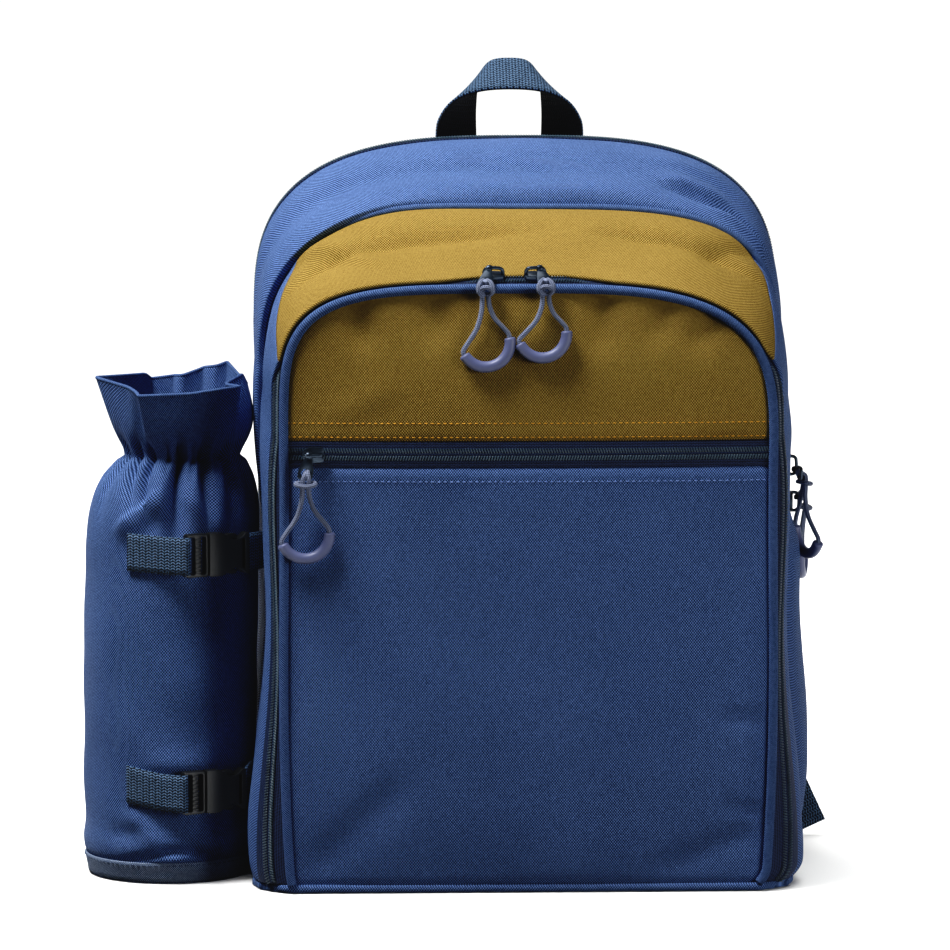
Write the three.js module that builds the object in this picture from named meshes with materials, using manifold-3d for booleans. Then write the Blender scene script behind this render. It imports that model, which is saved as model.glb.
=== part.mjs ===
// Picnic backpack, empty and standing on its base, with a bottle pouch buckled to its left side.
// Millimetres, +Z up. The front faces -Y and the origin is the middle of the base, on the ground.
import * as THREE from 'three';
import { mergeVertices } from 'three/addons/utils/BufferGeometryUtils.js';
import Module from 'manifold-3d';

const { CatmullRomCurve3, CubicInterpolant, ExtrudeGeometry, Matrix4, Path, Shape, Vector2, Vector3 } = THREE;
const { clamp, degToRad, lerp } = THREE.MathUtils;

// Driving dimensions
const GAP = 0.3; // between neighbouring pieces
const CLOTH = 3; // foam-backed polyester wall
const ZIP = 2; // zip tape and coil together
const WEBBING = 1.5;
const WEBBING_WIDTH = 20;
const BASE_PANEL = 4;
const BACK_PANEL = 5;
const DIVIDER = 2;
const MAIN_PIPING = 2; // radius
const FRONT_PIPING = 2.5; // radius
const RIM_GAP = 0.8; // round the divider, where the gusset slants
const PIPING_STEPS = 44;
// How far the front panel bulges out of its seam, and the powers by which that fades to its edges
const FRONT_SWELL = { depth: 7, upright: 4, across: 2.5 };
const FRONT_STEPS = 10;
const LOWER_RISES = [0, 0.15, 0.35, 0.6, 0.8, 1]; // rows of the two panels, as shares of their height
const UPPER_RISES = [0, 0.25, 0.45, 0.62, 0.77, 0.88, 0.95, 0.985];
const POCKET_ZIP = { low: 227, high: 240.5 };

// Outlines of the bag at eleven depths, back to front. Below the shoulder the half widths are given at
// LEVELS of the way up. Above it the outline is a superellipse that ends at the top. The load swells
// the right side out further, in the proportions of SWELL; on the left the pouch holds it flat.
// Round is the superellipse's power, and roundRight is the power on the right where the two differ.
const LEVELS = [0, 0.15, 0.35, 0.6, 1];
const SWELL = [0.65, 1, 0.95, 0.5, -0.25];
const OUTLINES = {
  backSeam: { y: 82, half: [139, 141, 141, 140, 140], swell: 7, shoulder: 286, top: 385, round: 2.9 },
  zipRear: { y: 55, half: [144, 146, 144.5, 142.5, 144], swell: 12, shoulder: 297, top: 394.5, round: 2.9 },
  zipFront: { y: 47, half: [144.5, 146.5, 145, 142.5, 144.5], swell: 13, shoulder: 297, top: 394, round: 2.9 },
  crown: { y: 25, half: [146, 148, 145, 142, 145.5], swell: 13, shoulder: 294, top: 387, round: 2.9 },
  slope: { y: 4, half: [144, 146, 142, 140, 142.5], swell: 10, shoulder: 286, top: 372, round: 2.85 },
  mainSeam: { y: -10, half: [140, 142, 138, 136, 137.5], swell: 5, shoulder: 275, top: 359, round: 2.8,
    roundRight: 3.6 },
  frontRear: { y: -30, half: [146, 147, 141.5, 138.5, 139.5], shoulder: 266, top: 352.5, round: 3,
    roundRight: 3.4 },
  frontMiddle: { y: -58, half: [147.5, 147.5, 142, 138.5, 138.5], shoulder: 252, top: 337, round: 3.6,
    roundRight: 3.3 },
  frontZipRear: { y: -72, half: [143.5, 143.5, 139, 136, 135.5], shoulder: 245, top: 327.5, round: 4,
    roundRight: 3.2 },
  frontZipEdge: { y: -82.4, half: [132, 133.5, 132.3, 131.6, 131.3], shoulder: 239, top: 323.3,
    round: 4.3, roundRight: 3.2 },
  frontSeam: { y: -85, half: [126, 128, 129.3, 129.3, 129], shoulder: 238, top: 320.5, round: 4.3,
    roundRight: 3.2 },
};
const SIDE_LEVELS = [0, 0.15, 0.35, 0.6, 0.8];
const ARCH_STEPS = 20;
// Arch steps from the shoulder to the slanted seam between blue and mustard cloth
const COLOUR_SEAM = { rear: 2.85, front: 2.05 };
const SEAM_GAP = 0.02; // in arch steps

// Bottle pouch: an oval sleeve that leans on the bag, tied in at the neck below a frilled collar.
// Each section has its centre, its two radii, the depth of its pleats and how far its back rises.
const POUCH_PLEATS = 9;
const POUCH_STEPS = 36;
const POUCH = [
  { z: 3, x: -191.5, y: -8, rx: 43.5, ry: 45, pleat: 0, rise: 0 },
  { z: 12, x: -191.8, y: -8, rx: 45, ry: 47, pleat: 0, rise: 0 },
  { z: 95, x: -190.8, y: -8, rx: 46.6, ry: 47, pleat: 0, rise: 0 },
  { z: 160, x: -190, y: -8, rx: 46.5, ry: 46, pleat: 0, rise: 0 },
  { z: 192, x: -188.5, y: -8, rx: 44.5, ry: 45, pleat: 0, rise: 0 },
  { z: 214, x: -185.5, y: -8, rx: 38.5, ry: 40, pleat: 1.6, rise: 0 },
  { z: 226, x: -183.7, y: -8, rx: 32.8, ry: 35, pleat: 1.6, rise: 0 },
  { z: 234, x: -184.5, y: -8, rx: 35, ry: 37, pleat: 1.8, rise: 1 },
  { z: 248, x: -186, y: -8, rx: 39.5, ry: 41, pleat: 2.2, rise: 3 },
  { z: 264, x: -187.2, y: -8, rx: 42, ry: 44, pleat: 2.6, rise: 6 },
];
const POUCH_NECK = 6; // row of the neck, where the collar starts
const NECK_GAP = 0.9; // between body and collar, whose walls lean apart
const POUCH_WALL = 2;
const HEM = { foot: 0.3, height: 11, thickness: 1.2, clear: 0.4 };
const POUCH_STRAPS = { upper: 177, lower: 52 }; // heights of the two buckled straps
const BUCKLE_ANGLE = -61; // round the pouch, in degrees
// Webbing sewn to the pouch: places round it, in degrees, and how far the webbing stands off there
const STUB = [{ angle: -118, off: 0 }, { angle: -111, off: 0 }, { angle: -104, off: 0.1 },
  { angle: -98, off: 0.6 }, { angle: -93, off: 1.5 }];
const STUB_END = { gap: 1.6, lift: 4 }; // at the plug
// Webbing from the socket to the bag's side, which ends a share of the way from the main seam to its tie
const SIDE_END = { gap: 0.8, lift: 2, clear: 0.4, anchor: 0.65 };

// Grab handle: the two edges of a twisted webbing strip, from its foot to its middle.
const HANDLE_X = -4;
const HANDLE_WALL = 1.8;
const HANDLE_STEPS = 16;
const HANDLE = [
  { frontX: 41, frontY: 68, frontZ: 390.5, rearX: 18.5, rearY: 79, rearZ: 386.9 },
  { frontX: 39, frontY: 66.5, frontZ: 403, rearX: 19, rearY: 80, rearZ: 409 },
  { frontX: 31.5, frontY: 63.5, frontZ: 414, rearX: 17.5, rearY: 81, rearZ: 424.5 },
  { frontX: 18, frontY: 62, frontZ: 419.5, rearX: 11, rearY: 81, rearZ: 434.5 },
  { frontX: 0, frontY: 61.5, frontZ: 421, rearX: 0, rearY: 81, rearZ: 436.5 },
];

// Shoulder strap: middle of its rear face, from the top seam down to the adjuster.
const PAD = 10;
const SHOULDER_STRAP = [
  { x: 48, y: 87.4, z: 368, width: 60 },
  { x: 50, y: 113, z: 369, width: 62 },
  { x: 54, y: 125, z: 356, width: 63 },
  { x: 61, y: 132, z: 326, width: 63 },
  { x: 70, y: 134, z: 284, width: 61 },
  { x: 78, y: 131, z: 240, width: 56 },
  { x: 86, y: 122, z: 200, width: 44 },
  { x: 92, y: 114, z: 168, width: 27 },
];
const STRAP_BAR = { x: 100, y: 108, z: 148, half: 2 }; // adjuster bar that the webbing turns round
const STRAP_SLANT = degToRad(24.6);
const ADJUSTER = { width: 27, opening: 21.2, height: 16, rail: 3 };
// Webbing below the adjuster: along is the way down the slant, y is the depth.
const STRAP_LOWER = [{ along: 88, y: 87.3 }, { along: 40, y: 96 }, { along: 6, y: 104 }];
const STRAP_TAIL = [{ along: 6, y: 111.6 }, { along: 40, y: 104.5 }, { along: 80, y: 98 },
  { along: 120, y: 94 }, { along: 158, y: 92.4 }];

// Zip pulls. zip is the place of the slider on the zip, run the way along it, out the way off it.
// The tab turns on the slider's bar, which is at barShift along the run, and ends at the hole.
// The cord starts beside the hole, threads it and hangs at the clear distance in front of it. Its loop
// has a turn about the vertical, a lean towards the bag, and a swing and a roll in its own plane.
// Drop is the way down from the hole to the middle of the loop's bend.
const PULLS = [
  { name: 'pocket', zip: [-113.5, -86.9, 233.7], run: [1, 0, 0], out: [0, -1, 0], barShift: -2.3,
    hole: [-117.6, -93.8, 224.5], start: [0, 0, -2.2], clear: 2.8, turn: 0, lean: 3.5, swing: -0.5,
    roll: 14, drop: 32.6 },
  { name: 'front_left', zip: [-18.6, -78.6, 325.2], run: [1, 0, 0], out: [0, -0.36, 0.93], barShift: -2.3,
    hole: [-23.2, -90.6, 323.4], start: [0, 1.8, 1.5], clear: -0.5, turn: 0, lean: -3, swing: 0.2,
    roll: 21, drop: 30.6 },
  { name: 'front_right', zip: [3.4, -78.6, 325.2], run: [-1, 0, 0], out: [0, -0.36, 0.93], barShift: -2.3,
    hole: [8.4, -90.6, 323.8], start: [0, 1.8, 1.5], clear: -0.5, turn: 0, lean: -3, swing: -4,
    roll: 15, drop: 26.4 },
  { name: 'main_upper', zip: [147.2, 51, 213], run: [0, 0, -1], out: [1, 0, 0], barShift: 2.3,
    hole: [154.8, 41, 209.5], start: [0, 0, -2.2], clear: 2.8, turn: 115, lean: -2, swing: -11,
    roll: 16, drop: 31.5 },
  { name: 'main_lower', zip: [148.6, 51, 193], run: [0, 0, 1], out: [1, 0, 0], barShift: 2.3,
    hole: [156.8, 60.8, 194.2], start: [0, 0, -2.2], clear: 2.8, turn: 80, lean: -1, swing: 5,
    roll: -6, drop: 30 },
];
const SLIDER = { length: 11, width: 8.5, nose: 5, height: 2.6, bar: 5.6, barHalf: 0.7,
  crownHalf: 0.9, crownInset: 0.4, crownSink: 0.5, post: 1 };
const TAB = { width: 8, thickness: 1.2, eye: 1.5, eyeWall: 0.8, eyeLength: 3, eyeSides: 12,
  hole: 2.4, holeSides: 10, lip: 1.4, chamfer: 1.5 };
const CORD = { radius: 1.3, steps: 30 };
// Cord threaded in the hole, then its two legs below the hitch: shares of the fall, spread and stand-off
const THREAD = { across: -0.6, below: -1.1, clear: 0.95 };
const HITCH = { across: 1.8, below: -4.5 };
const LEG = [{ fall: 0.3, spread: 0.1, off: 0.6 }, { fall: 0.6, spread: 0.36, off: 0.2 },
  { fall: 0.84, spread: 0.74, off: 0 }];
// Grip: a soft tube on the bend of the loop, between two points of the route
const GRIP = { radius: 2.8, bore: 2.2, bend: 12.8, first: 182, last: 358, points: 9,
  from: 7.3, to: 14.7, steps: 10 };

const MATERIAL = Object.fromEntries([
  ['blue_cloth', 0x34508a, 0.85, 0],
  ['mustard_cloth', 0xa07a26, 0.85, 0],
  ['navy_zip', 0x1e2a3c, 0.7, 0],
  ['navy_webbing', 0x35445c, 0.8, 0],
  ['black_plastic', 0x191c20, 0.45, 0],
  ['black_metal', 0x1b2230, 0.4, 0.8],
  ['grey_cord', 0x565f85, 0.8, 0],
  ['grey_rubber', 0x6a6f9c, 0.5, 0],
].map(([name, color, roughness, metalness]) => [
  name, new THREE.MeshStandardMaterial({ name, color, roughness, metalness })]));

const backpack = new THREE.Group();

function add(name, geometry, material, parent = backpack) {
  const mesh = new THREE.Mesh(geometry, MATERIAL[material]);
  mesh.name = name;
  parent.add(mesh);
}

// General shapes

// Closed wall between two grids of points, outer[row][column] and inner[row][column].
// Around joins the last column to the first.
function wall(outer, inner, around = false) {
  const rows = outer.length;
  const columns = outer[0].length;
  const back = rows * columns;
  const triangles = [];
  const quad = (a, b, c, d) => triangles.push(a, b, c, a, c, d);
  const id = (r, c) => r * columns + (c % columns);
  const spans = around ? columns : columns - 1;
  for (let c = 0; c < spans; c += 1) {
    for (let r = 0; r < rows - 1; r += 1) {
      const [p, q, s, t] = [id(r, c), id(r + 1, c), id(r + 1, c + 1), id(r, c + 1)];
      quad(p, q, s, t);
      quad(back + p, back + t, back + s, back + q);
    }
    const [first, next] = [id(0, c), id(0, c + 1)];
    quad(first, next, back + next, back + first);
    const [last, after] = [id(rows - 1, c), id(rows - 1, c + 1)];
    quad(after, last, back + last, back + after);
  }
  for (let r = 0; r < rows - 1 && !around; r += 1) {
    const [first, below] = [id(r, 0), id(r + 1, 0)];
    quad(below, first, back + first, back + below);
    const [last, under] = [id(r, columns - 1), id(r + 1, columns - 1)];
    quad(last, under, back + under, back + last);
  }
  const row = rows >> 1;
  const column = columns >> 1;
  const thickness = outer[row][column].clone().sub(inner[row][column]);
  if (gridNormal(outer, row, column, around).dot(thickness) < 0) {
    triangles.reverse();
  }
  const geometry = new THREE.BufferGeometry().setFromPoints([...outer.flat(), ...inner.flat()]);
  geometry.setIndex(triangles);
  return geometry;
}

function gridNormal(grid, row, column, around) {
  const columns = grid[0].length;
  const wrap = (c) => (around ? (c + columns) % columns : clamp(c, 0, columns - 1));
  const at = (r, c) => grid[clamp(r, 0, grid.length - 1)][wrap(c)];
  const across = at(row + 1, column).clone().sub(at(row - 1, column));
  const along = at(row, column + 1).clone().sub(at(row, column - 1));
  return across.cross(along).normalize();
}

// Wall of even thickness behind a grid, on the side where the point inside lies
function sheet(grid, thickness, inside, around = false) {
  const row = grid.length >> 1;
  const column = grid[0].length >> 1;
  const towards = inside.clone().sub(grid[row][column]);
  const way = Math.sign(gridNormal(grid, row, column, around).dot(towards)) * thickness;
  const inner = grid.map((line, r) => line.map((point, c) =>
    point.clone().addScaledVector(gridNormal(grid, r, c, around), way)));
  return wall(grid, inner, around);
}

function circle(radius, sides, Kind = Shape) {
  const corner = (_, i) => {
    const angle = (2 * Math.PI * i) / sides;
    return new Vector2(radius * Math.cos(angle), radius * Math.sin(angle));
  };
  return new Kind(Array.from({ length: sides }, corner));
}

// Tube along a smooth line through the points; with a bore it is open from end to end.
function tube(points, radius, steps, bore = 0) {
  const sides = 8;
  const section = circle(radius, sides);
  if (bore > 0) {
    section.holes.push(circle(bore, sides, Path));
  }
  return new ExtrudeGeometry(section, { steps, extrudePath: new CatmullRomCurve3(points) });
}

function plate(shape, depth) {
  return new ExtrudeGeometry(shape, { depth, bevelEnabled: false });
}

function rectangle(left, low, right, high, Kind = Shape) {
  const corners = [[left, low], [right, low], [right, high], [left, high]];
  return new Kind(corners.map(([x, y]) => new Vector2(x, y)));
}

const wasm = await Module();
wasm.setup();

// One solid from geometries that overlap
function join(...geometries) {
  const solids = geometries.map((geometry) => {
    const bare = geometry.clone();
    bare.deleteAttribute('normal');
    bare.deleteAttribute('uv');
    const merged = mergeVertices(bare);
    const vertProperties = new Float32Array(merged.attributes.position.array);
    const triVerts = new Uint32Array(merged.index.array);
    return new wasm.Manifold(new wasm.Mesh({ numProp: 3, vertProperties, triVerts }));
  });
  const mesh = solids.reduce((whole, solid) => whole.add(solid)).getMesh();
  const joined = new THREE.BufferGeometry();
  joined.setAttribute('position', new THREE.BufferAttribute(mesh.vertProperties, 3));
  joined.setIndex(new THREE.BufferAttribute(mesh.triVerts, 1));
  return joined;
}

// Bag outline

const INSIDE = new Vector3(0, 0, 150);
const BASE = BASE_PANEL + GAP; // where the upright pieces start

function halfWidth(outline, level, side) {
  const widths = outline.half.map((half, i) => half + (side > 0 ? (outline.swell ?? 0) * SWELL[i] : 0));
  return new CubicInterpolant(LEVELS, widths, 1).evaluate(level)[0];
}

function roundness(outline, side) {
  return side > 0 ? outline.roundRight ?? outline.round : outline.round;
}

function halfAtHeight(outline, z, side) {
  if (z <= outline.shoulder) {
    return halfWidth(outline, clamp((z - BASE) / (outline.shoulder - BASE), 0, 1), side);
  }
  const up = (z - outline.shoulder) / (outline.top - outline.shoulder);
  const power = roundness(outline, side);
  return halfWidth(outline, 1, side) * (1 - up ** power) ** (1 / power);
}

// The outline as a line of points, from the left foot over the top to the right foot
function arch(outline) {
  const { y, shoulder, top } = outline;
  const side = (sign) => SIDE_LEVELS.map((level) =>
    new Vector3(sign * halfWidth(outline, level, sign), y, lerp(BASE, shoulder, level)));
  const over = Array.from({ length: ARCH_STEPS + 1 }, (_, i) => {
    const angle = Math.PI * (1 - i / ARCH_STEPS);
    const sign = Math.sign(ARCH_STEPS / -2 + i);
    const power = roundness(outline, sign);
    const across = Math.abs(Math.cos(angle) / halfWidth(outline, 1, sign)) ** power;
    const up = Math.abs(Math.sin(angle) / (top - shoulder)) ** power;
    const reach = (across + up) ** (-1 / power);
    return new Vector3(reach * Math.cos(angle), y, shoulder + reach * Math.sin(angle));
  });
  return [...side(-1), ...over, ...side(1).reverse()];
}

const ARCH_START = SIDE_LEVELS.length;
const ARCH_END = ARCH_START + ARCH_STEPS;

function shifted(outline, by) {
  return { ...outline, y: outline.y + by };
}

function inset(outline, by) {
  return { ...outline, half: outline.half.map((half) => half - by), top: outline.top - by };
}

// An outline's line moved inwards within its own plane
function insetLine(line, by) {
  return line.map((point, i) => {
    const next = line[Math.min(i + 1, line.length - 1)];
    const along = next.clone().sub(line[Math.max(i - 1, 0)]).normalize();
    return point.clone().add(new Vector3(along.z, 0, -along.x).multiplyScalar(by));
  });
}

// Part of a line between two places, which are counted in points from its start
function between(line, from, to) {
  const at = (place) => line[Math.floor(place)].clone().lerp(line[Math.ceil(place)], place % 1);
  return [at(from), ...line.slice(Math.floor(from) + 1, Math.ceil(to)), at(to)];
}

// Wall that runs over the bag through some outlines, whose edges lie in the outlines' planes. Its ends
// may differ from outline to outline.
function band(outlines, thickness, from = () => 0, to = () => ARCH_END + SIDE_LEVELS.length) {
  const lines = outlines.map(arch);
  const piece = (line, i) => between(line, from(outlines[i]), to(outlines[i]));
  return wall(lines.map(piece), lines.map((line, i) => piece(insetLine(line, thickness), i)));
}

// Flat panel with the bag's arched outline, its front at the outline's depth
function archPanel(outline, thickness) {
  const shape = new Shape(arch(outline).map(({ x, z }) => new Vector2(x, z)));
  return plate(shape, thickness).rotateX(Math.PI / 2).translate(0, outline.y + thickness, 0);
}

// Bag

function addRearCompartment() {
  const { backSeam, zipRear, zipFront, crown, slope, mainSeam } = OUTLINES;
  const pipingSide = MAIN_PIPING + GAP;
  add('back_panel', archPanel(backSeam, BACK_PANEL), 'blue_cloth');
  add('rear_gusset', band([shifted(backSeam, -GAP), zipRear], CLOTH), 'blue_cloth');
  add('main_zip', band([shifted(zipRear, -GAP), shifted(zipFront, GAP)], ZIP), 'navy_zip');
  add('main_gusset', band([zipFront, crown, slope, shifted(mainSeam, pipingSide)], CLOTH), 'blue_cloth');
  const dividerEdge = inset(mainSeam, CLOTH + RIM_GAP);
  add('divider_panel', archPanel(shifted(dividerEdge, -DIVIDER / 2), DIVIDER), 'blue_cloth');
  add('main_piping', tube(arch(mainSeam), MAIN_PIPING, PIPING_STEPS), 'blue_cloth');
}

function addFrontCompartment() {
  const { mainSeam, frontRear, frontMiddle, frontZipRear, frontZipEdge, frontSeam } = OUTLINES;
  const rows = [shifted(mainSeam, -MAIN_PIPING - GAP), frontRear, frontMiddle, frontZipRear];
  const seam = ({ y }) => {
    const share = (y - rows[0].y) / (frontZipRear.y - rows[0].y);
    return lerp(COLOUR_SEAM.rear, COLOUR_SEAM.front, share);
  };
  const left = (gap) => (outline) => ARCH_START + seam(outline) + gap;
  const right = (gap) => (outline) => ARCH_END - seam(outline) - gap;
  add('front_gusset_left', band(rows, CLOTH, undefined, left(0)), 'blue_cloth');
  add('front_gusset_top', band(rows, CLOTH, left(SEAM_GAP), right(SEAM_GAP)), 'mustard_cloth');
  add('front_gusset_right', band(rows, CLOTH, right(0)), 'blue_cloth');
  add('front_zip', band([shifted(frontZipRear, -GAP), frontZipEdge], ZIP), 'navy_zip');
  add('front_piping', tube(arch(frontSeam), FRONT_PIPING, PIPING_STEPS), 'blue_cloth');
}

// Front panel between two heights, bulging between its seams
function frontPanel(low, high, rises, thickness) {
  const outline = inset(OUTLINES.frontSeam, FRONT_PIPING + 2 * GAP);
  const middle = outline.top / 2;
  const row = (rise) => {
    const z = lerp(low, high, rise);
    const upright = 1 - Math.abs(z / middle - 1) ** FRONT_SWELL.upright;
    return Array.from({ length: FRONT_STEPS + 1 }, (_, i) => {
      const u = (2 * i) / FRONT_STEPS - 1;
      const swell = FRONT_SWELL.depth * upright * (1 - Math.abs(u) ** FRONT_SWELL.across);
      return new Vector3(u * halfAtHeight(outline, z, u), outline.y - swell, z);
    });
  };
  return sheet(rises.map(row), thickness, INSIDE);
}

function addFrontPanels() {
  const { low, high } = POCKET_ZIP;
  const top = OUTLINES.frontSeam.top - FRONT_PIPING - 2 * GAP;
  add('front_panel_lower', frontPanel(BASE, low - GAP, LOWER_RISES, CLOTH), 'blue_cloth');
  add('pocket_zip', frontPanel(low, high, [0, 1], ZIP), 'navy_zip');
  add('front_panel_upper', frontPanel(high + GAP, top, UPPER_RISES, CLOTH), 'mustard_cloth');
}

function addBase() {
  const sides = Object.values(OUTLINES);
  const right = sides.map((outline) => new Vector2(halfWidth(outline, 0, 1), outline.y));
  const left = sides.map((outline) => new Vector2(-halfWidth(outline, 0, -1), outline.y)).reverse();
  add('base_panel', plate(new Shape([...right, ...left]), BASE_PANEL), 'blue_cloth');
}

function addHandle() {
  const half = (sign) => HANDLE.map((row) => [
    new Vector3(HANDLE_X + sign * row.frontX, row.frontY, row.frontZ),
    new Vector3(HANDLE_X + sign * row.rearX, row.rearY, row.rearZ)]);
  const sections = [...half(-1), ...half(1).reverse().slice(1)];
  const edges = [0, 1].map((edge) => {
    const line = new CatmullRomCurve3(sections.map((section) => section[edge]));
    return line.getPoints(HANDLE_STEPS);
  });
  const under = new Vector3(HANDLE_X, 90, 390);
  add('grab_handle', sheet(edges, HANDLE_WALL, under), 'navy_webbing');
}

// Shoulder straps, one on each side of the back

function addShoulderStrap(name, sign) {
  const edge = (way) => SHOULDER_STRAP.map(({ x, y, z, width }) =>
    new Vector3(sign * x + (way * width) / 2, y, z));
  add(`shoulder_strap_${name}`, sheet([edge(-1), edge(1)], PAD, INSIDE), 'blue_cloth');

  const bar = new Vector3(sign * STRAP_BAR.x, STRAP_BAR.y, STRAP_BAR.z);
  const down = new Vector3(sign * Math.sin(STRAP_SLANT), 0, -Math.cos(STRAP_SLANT));
  const across = new Vector3(Math.cos(STRAP_SLANT), 0, sign * Math.sin(STRAP_SLANT));
  const turnRadius = STRAP_BAR.half * Math.SQRT2 + WEBBING + GAP;
  const turn = [-90, -135, 180, 135, 90].map((degrees) => ({
    along: turnRadius * Math.cos(degToRad(degrees)), y: bar.y + turnRadius * Math.sin(degToRad(degrees)) }));
  const route = [...STRAP_LOWER, ...turn, ...STRAP_TAIL];
  const side = (way) => route.map(({ along, y }) => {
    const point = bar.clone().addScaledVector(down, along).addScaledVector(across, (way * WEBBING_WIDTH) / 2);
    return point.setY(y);
  });
  const beforeTurn = bar.clone().addScaledVector(down, 1);
  add(`strap_webbing_${name}`, sheet([side(-1), side(1)], WEBBING, beforeTurn), 'navy_webbing');

  const { width, opening, height, rail } = ADJUSTER;
  const frame = rectangle(-width / 2, -STRAP_BAR.half, width / 2, height);
  frame.holes.push(rectangle(-opening / 2, STRAP_BAR.half, opening / 2, height - rail, Path));
  const up = down.clone().negate();
  const placed = new Matrix4().makeBasis(across, up, across.clone().cross(up)).setPosition(bar);
  const adjuster = plate(frame, 2 * STRAP_BAR.half).translate(0, 0, -STRAP_BAR.half).applyMatrix4(placed);
  add(`strap_adjuster_${name}`, adjuster, 'black_plastic');
}

// Bottle pouch

function pouchPoint(section, angle, offset = 0) {
  const fold = section.pleat * Math.cos(POUCH_PLEATS * angle);
  const x = section.x + (section.rx + fold + offset) * Math.cos(angle);
  const y = section.y + (section.ry + fold + offset) * Math.sin(angle);
  return new Vector3(x, y, section.z + section.rise * Math.sin(angle));
}

function pouchRing(section, offset = 0) {
  const angle = (i) => (2 * Math.PI * i) / POUCH_STEPS;
  return Array.from({ length: POUCH_STEPS }, (_, i) => pouchPoint(section, angle(i), offset));
}

function pouchSectionAt(z) {
  const above = POUCH.findIndex((section) => section.z >= z);
  const [low, high] = [POUCH[above - 1], POUCH[above]];
  const share = (z - low.z) / (high.z - low.z);
  const mixed = Object.keys(low).map((column) => [column, lerp(low[column], high[column], share)]);
  return Object.fromEntries(mixed);
}

function addPouch() {
  const [foot, body] = POUCH;
  const middle = new Vector3(body.x, body.y, INSIDE.z);
  const sleeve = (sections) => sheet(sections.map((section) => pouchRing(section)), POUCH_WALL, middle, true);
  add('bottle_pouch', sleeve(POUCH.slice(0, POUCH_NECK + 1)), 'blue_cloth');
  const neck = pouchSectionAt(POUCH[POUCH_NECK].z + NECK_GAP);
  add('pouch_collar', sleeve([neck, ...POUCH.slice(POUCH_NECK + 1)]), 'blue_cloth');
  const reach = HEM.thickness + HEM.clear;
  const hemEdges = [{ ...foot, z: HEM.foot }, { ...body, z: HEM.height }];
  const hemRings = hemEdges.map((section) => pouchRing(section, reach));
  add('pouch_hem', sheet(hemRings, HEM.thickness, middle, true), 'navy_webbing');
  const floor = new Shape(pouchRing(foot).map(({ x, y }) => new Vector2(x, y)));
  add('pouch_base', plate(floor, foot.z - GAP), 'blue_cloth');
}

// Buckle outlines in the plane of the strap: along it from the plug's end, and across it.
const BUCKLE = { start: -18, half: 11.6, plug: 13, tongue: 12, tongueHalf: 7, chamfer: 1.5, socket: 24,
  slot: 3.2, slotHalf: 10.2, slotEdge: 3, thickness: 6 };

function plugShape() {
  const { half, plug, tongue, tongueHalf, chamfer, slot, slotHalf, slotEdge } = BUCKLE;
  const shape = new Shape([
    new Vector2(0, -half), new Vector2(plug, -half), new Vector2(plug, -tongueHalf),
    new Vector2(plug + tongue, -tongueHalf + chamfer), new Vector2(plug + tongue, tongueHalf - chamfer),
    new Vector2(plug, tongueHalf), new Vector2(plug, half), new Vector2(0, half)]);
  shape.holes.push(rectangle(slotEdge, -slotHalf, slotEdge + slot, slotHalf, Path));
  return shape;
}

function socketShape() {
  const { half, plug, tongue, tongueHalf, socket, slot, slotHalf, slotEdge } = BUCKLE;
  const start = plug + GAP;
  const end = plug + socket;
  const shape = new Shape([
    new Vector2(start, -half), new Vector2(end, -half), new Vector2(end, half), new Vector2(start, half),
    new Vector2(start, tongueHalf + GAP), new Vector2(plug + tongue + GAP, tongueHalf + GAP),
    new Vector2(plug + tongue + GAP, -tongueHalf - GAP), new Vector2(start, -tongueHalf - GAP)]);
  shape.holes.push(rectangle(end - slotEdge - slot, -slotHalf, end - slotEdge, slotHalf, Path));
  return shape;
}

function addPouchStrap(name, z) {
  const section = pouchSectionAt(z - WEBBING_WIDTH / 2);
  const angle = degToRad(BUCKLE_ANGLE);
  const seat = pouchPoint(section, angle, GAP).setZ(z);
  const along = new Vector3(-section.rx * Math.sin(angle), section.ry * Math.cos(angle), 0).normalize();
  const off = new Vector3(along.y, -along.x, 0);
  const buckle = new THREE.Group();
  buckle.position.copy(seat);
  buckle.rotation.z = Math.atan2(along.y, along.x);
  backpack.add(buckle);
  const { start, plug, socket, thickness } = BUCKLE;
  const upright = (shape) => plate(shape, thickness).rotateX(Math.PI / 2).translate(start, 0, 0);
  add(`buckle_plug_${name}`, upright(plugShape()), 'black_plastic', buckle);
  add(`buckle_socket_${name}`, upright(socketShape()), 'black_plastic', buckle);

  const strip = (line, inside) => sheet([WEBBING_WIDTH / 2, -WEBBING_WIDTH / 2].map((rise) =>
    line.map((point) => point.clone().setZ(z + rise))), WEBBING, inside);
  const onPouch = GAP + WEBBING;
  const stub = STUB.map((place) => pouchPoint(section, degToRad(place.angle), onPouch + place.off));
  const plugEnd = seat.clone().addScaledVector(along, start - STUB_END.gap);
  stub.push(plugEnd.addScaledVector(off, STUB_END.lift));
  const centre = new Vector3(section.x, section.y, z);
  add(`pouch_webbing_${name}`, strip(stub, centre), 'navy_webbing');

  const socketEnd = seat.clone().addScaledVector(along, start + plug + socket + SIDE_END.gap);
  const bagSide = (outline) => {
    const reach = halfWidth(outline, (z - BASE) / (outline.shoulder - BASE), -1);
    return new Vector3(-reach - onPouch - SIDE_END.clear, outline.y, z);
  };
  const tie = bagSide(OUTLINES.frontRear);
  const anchor = bagSide(OUTLINES.mainSeam).lerp(tie, SIDE_END.anchor);
  const line = [socketEnd.addScaledVector(off, SIDE_END.lift), tie, anchor];
  const insideBag = new Vector3(0, tie.y, z);
  add(`side_webbing_${name}`, strip(line, insideBag), 'navy_webbing');
}

// Zip pulls

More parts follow.
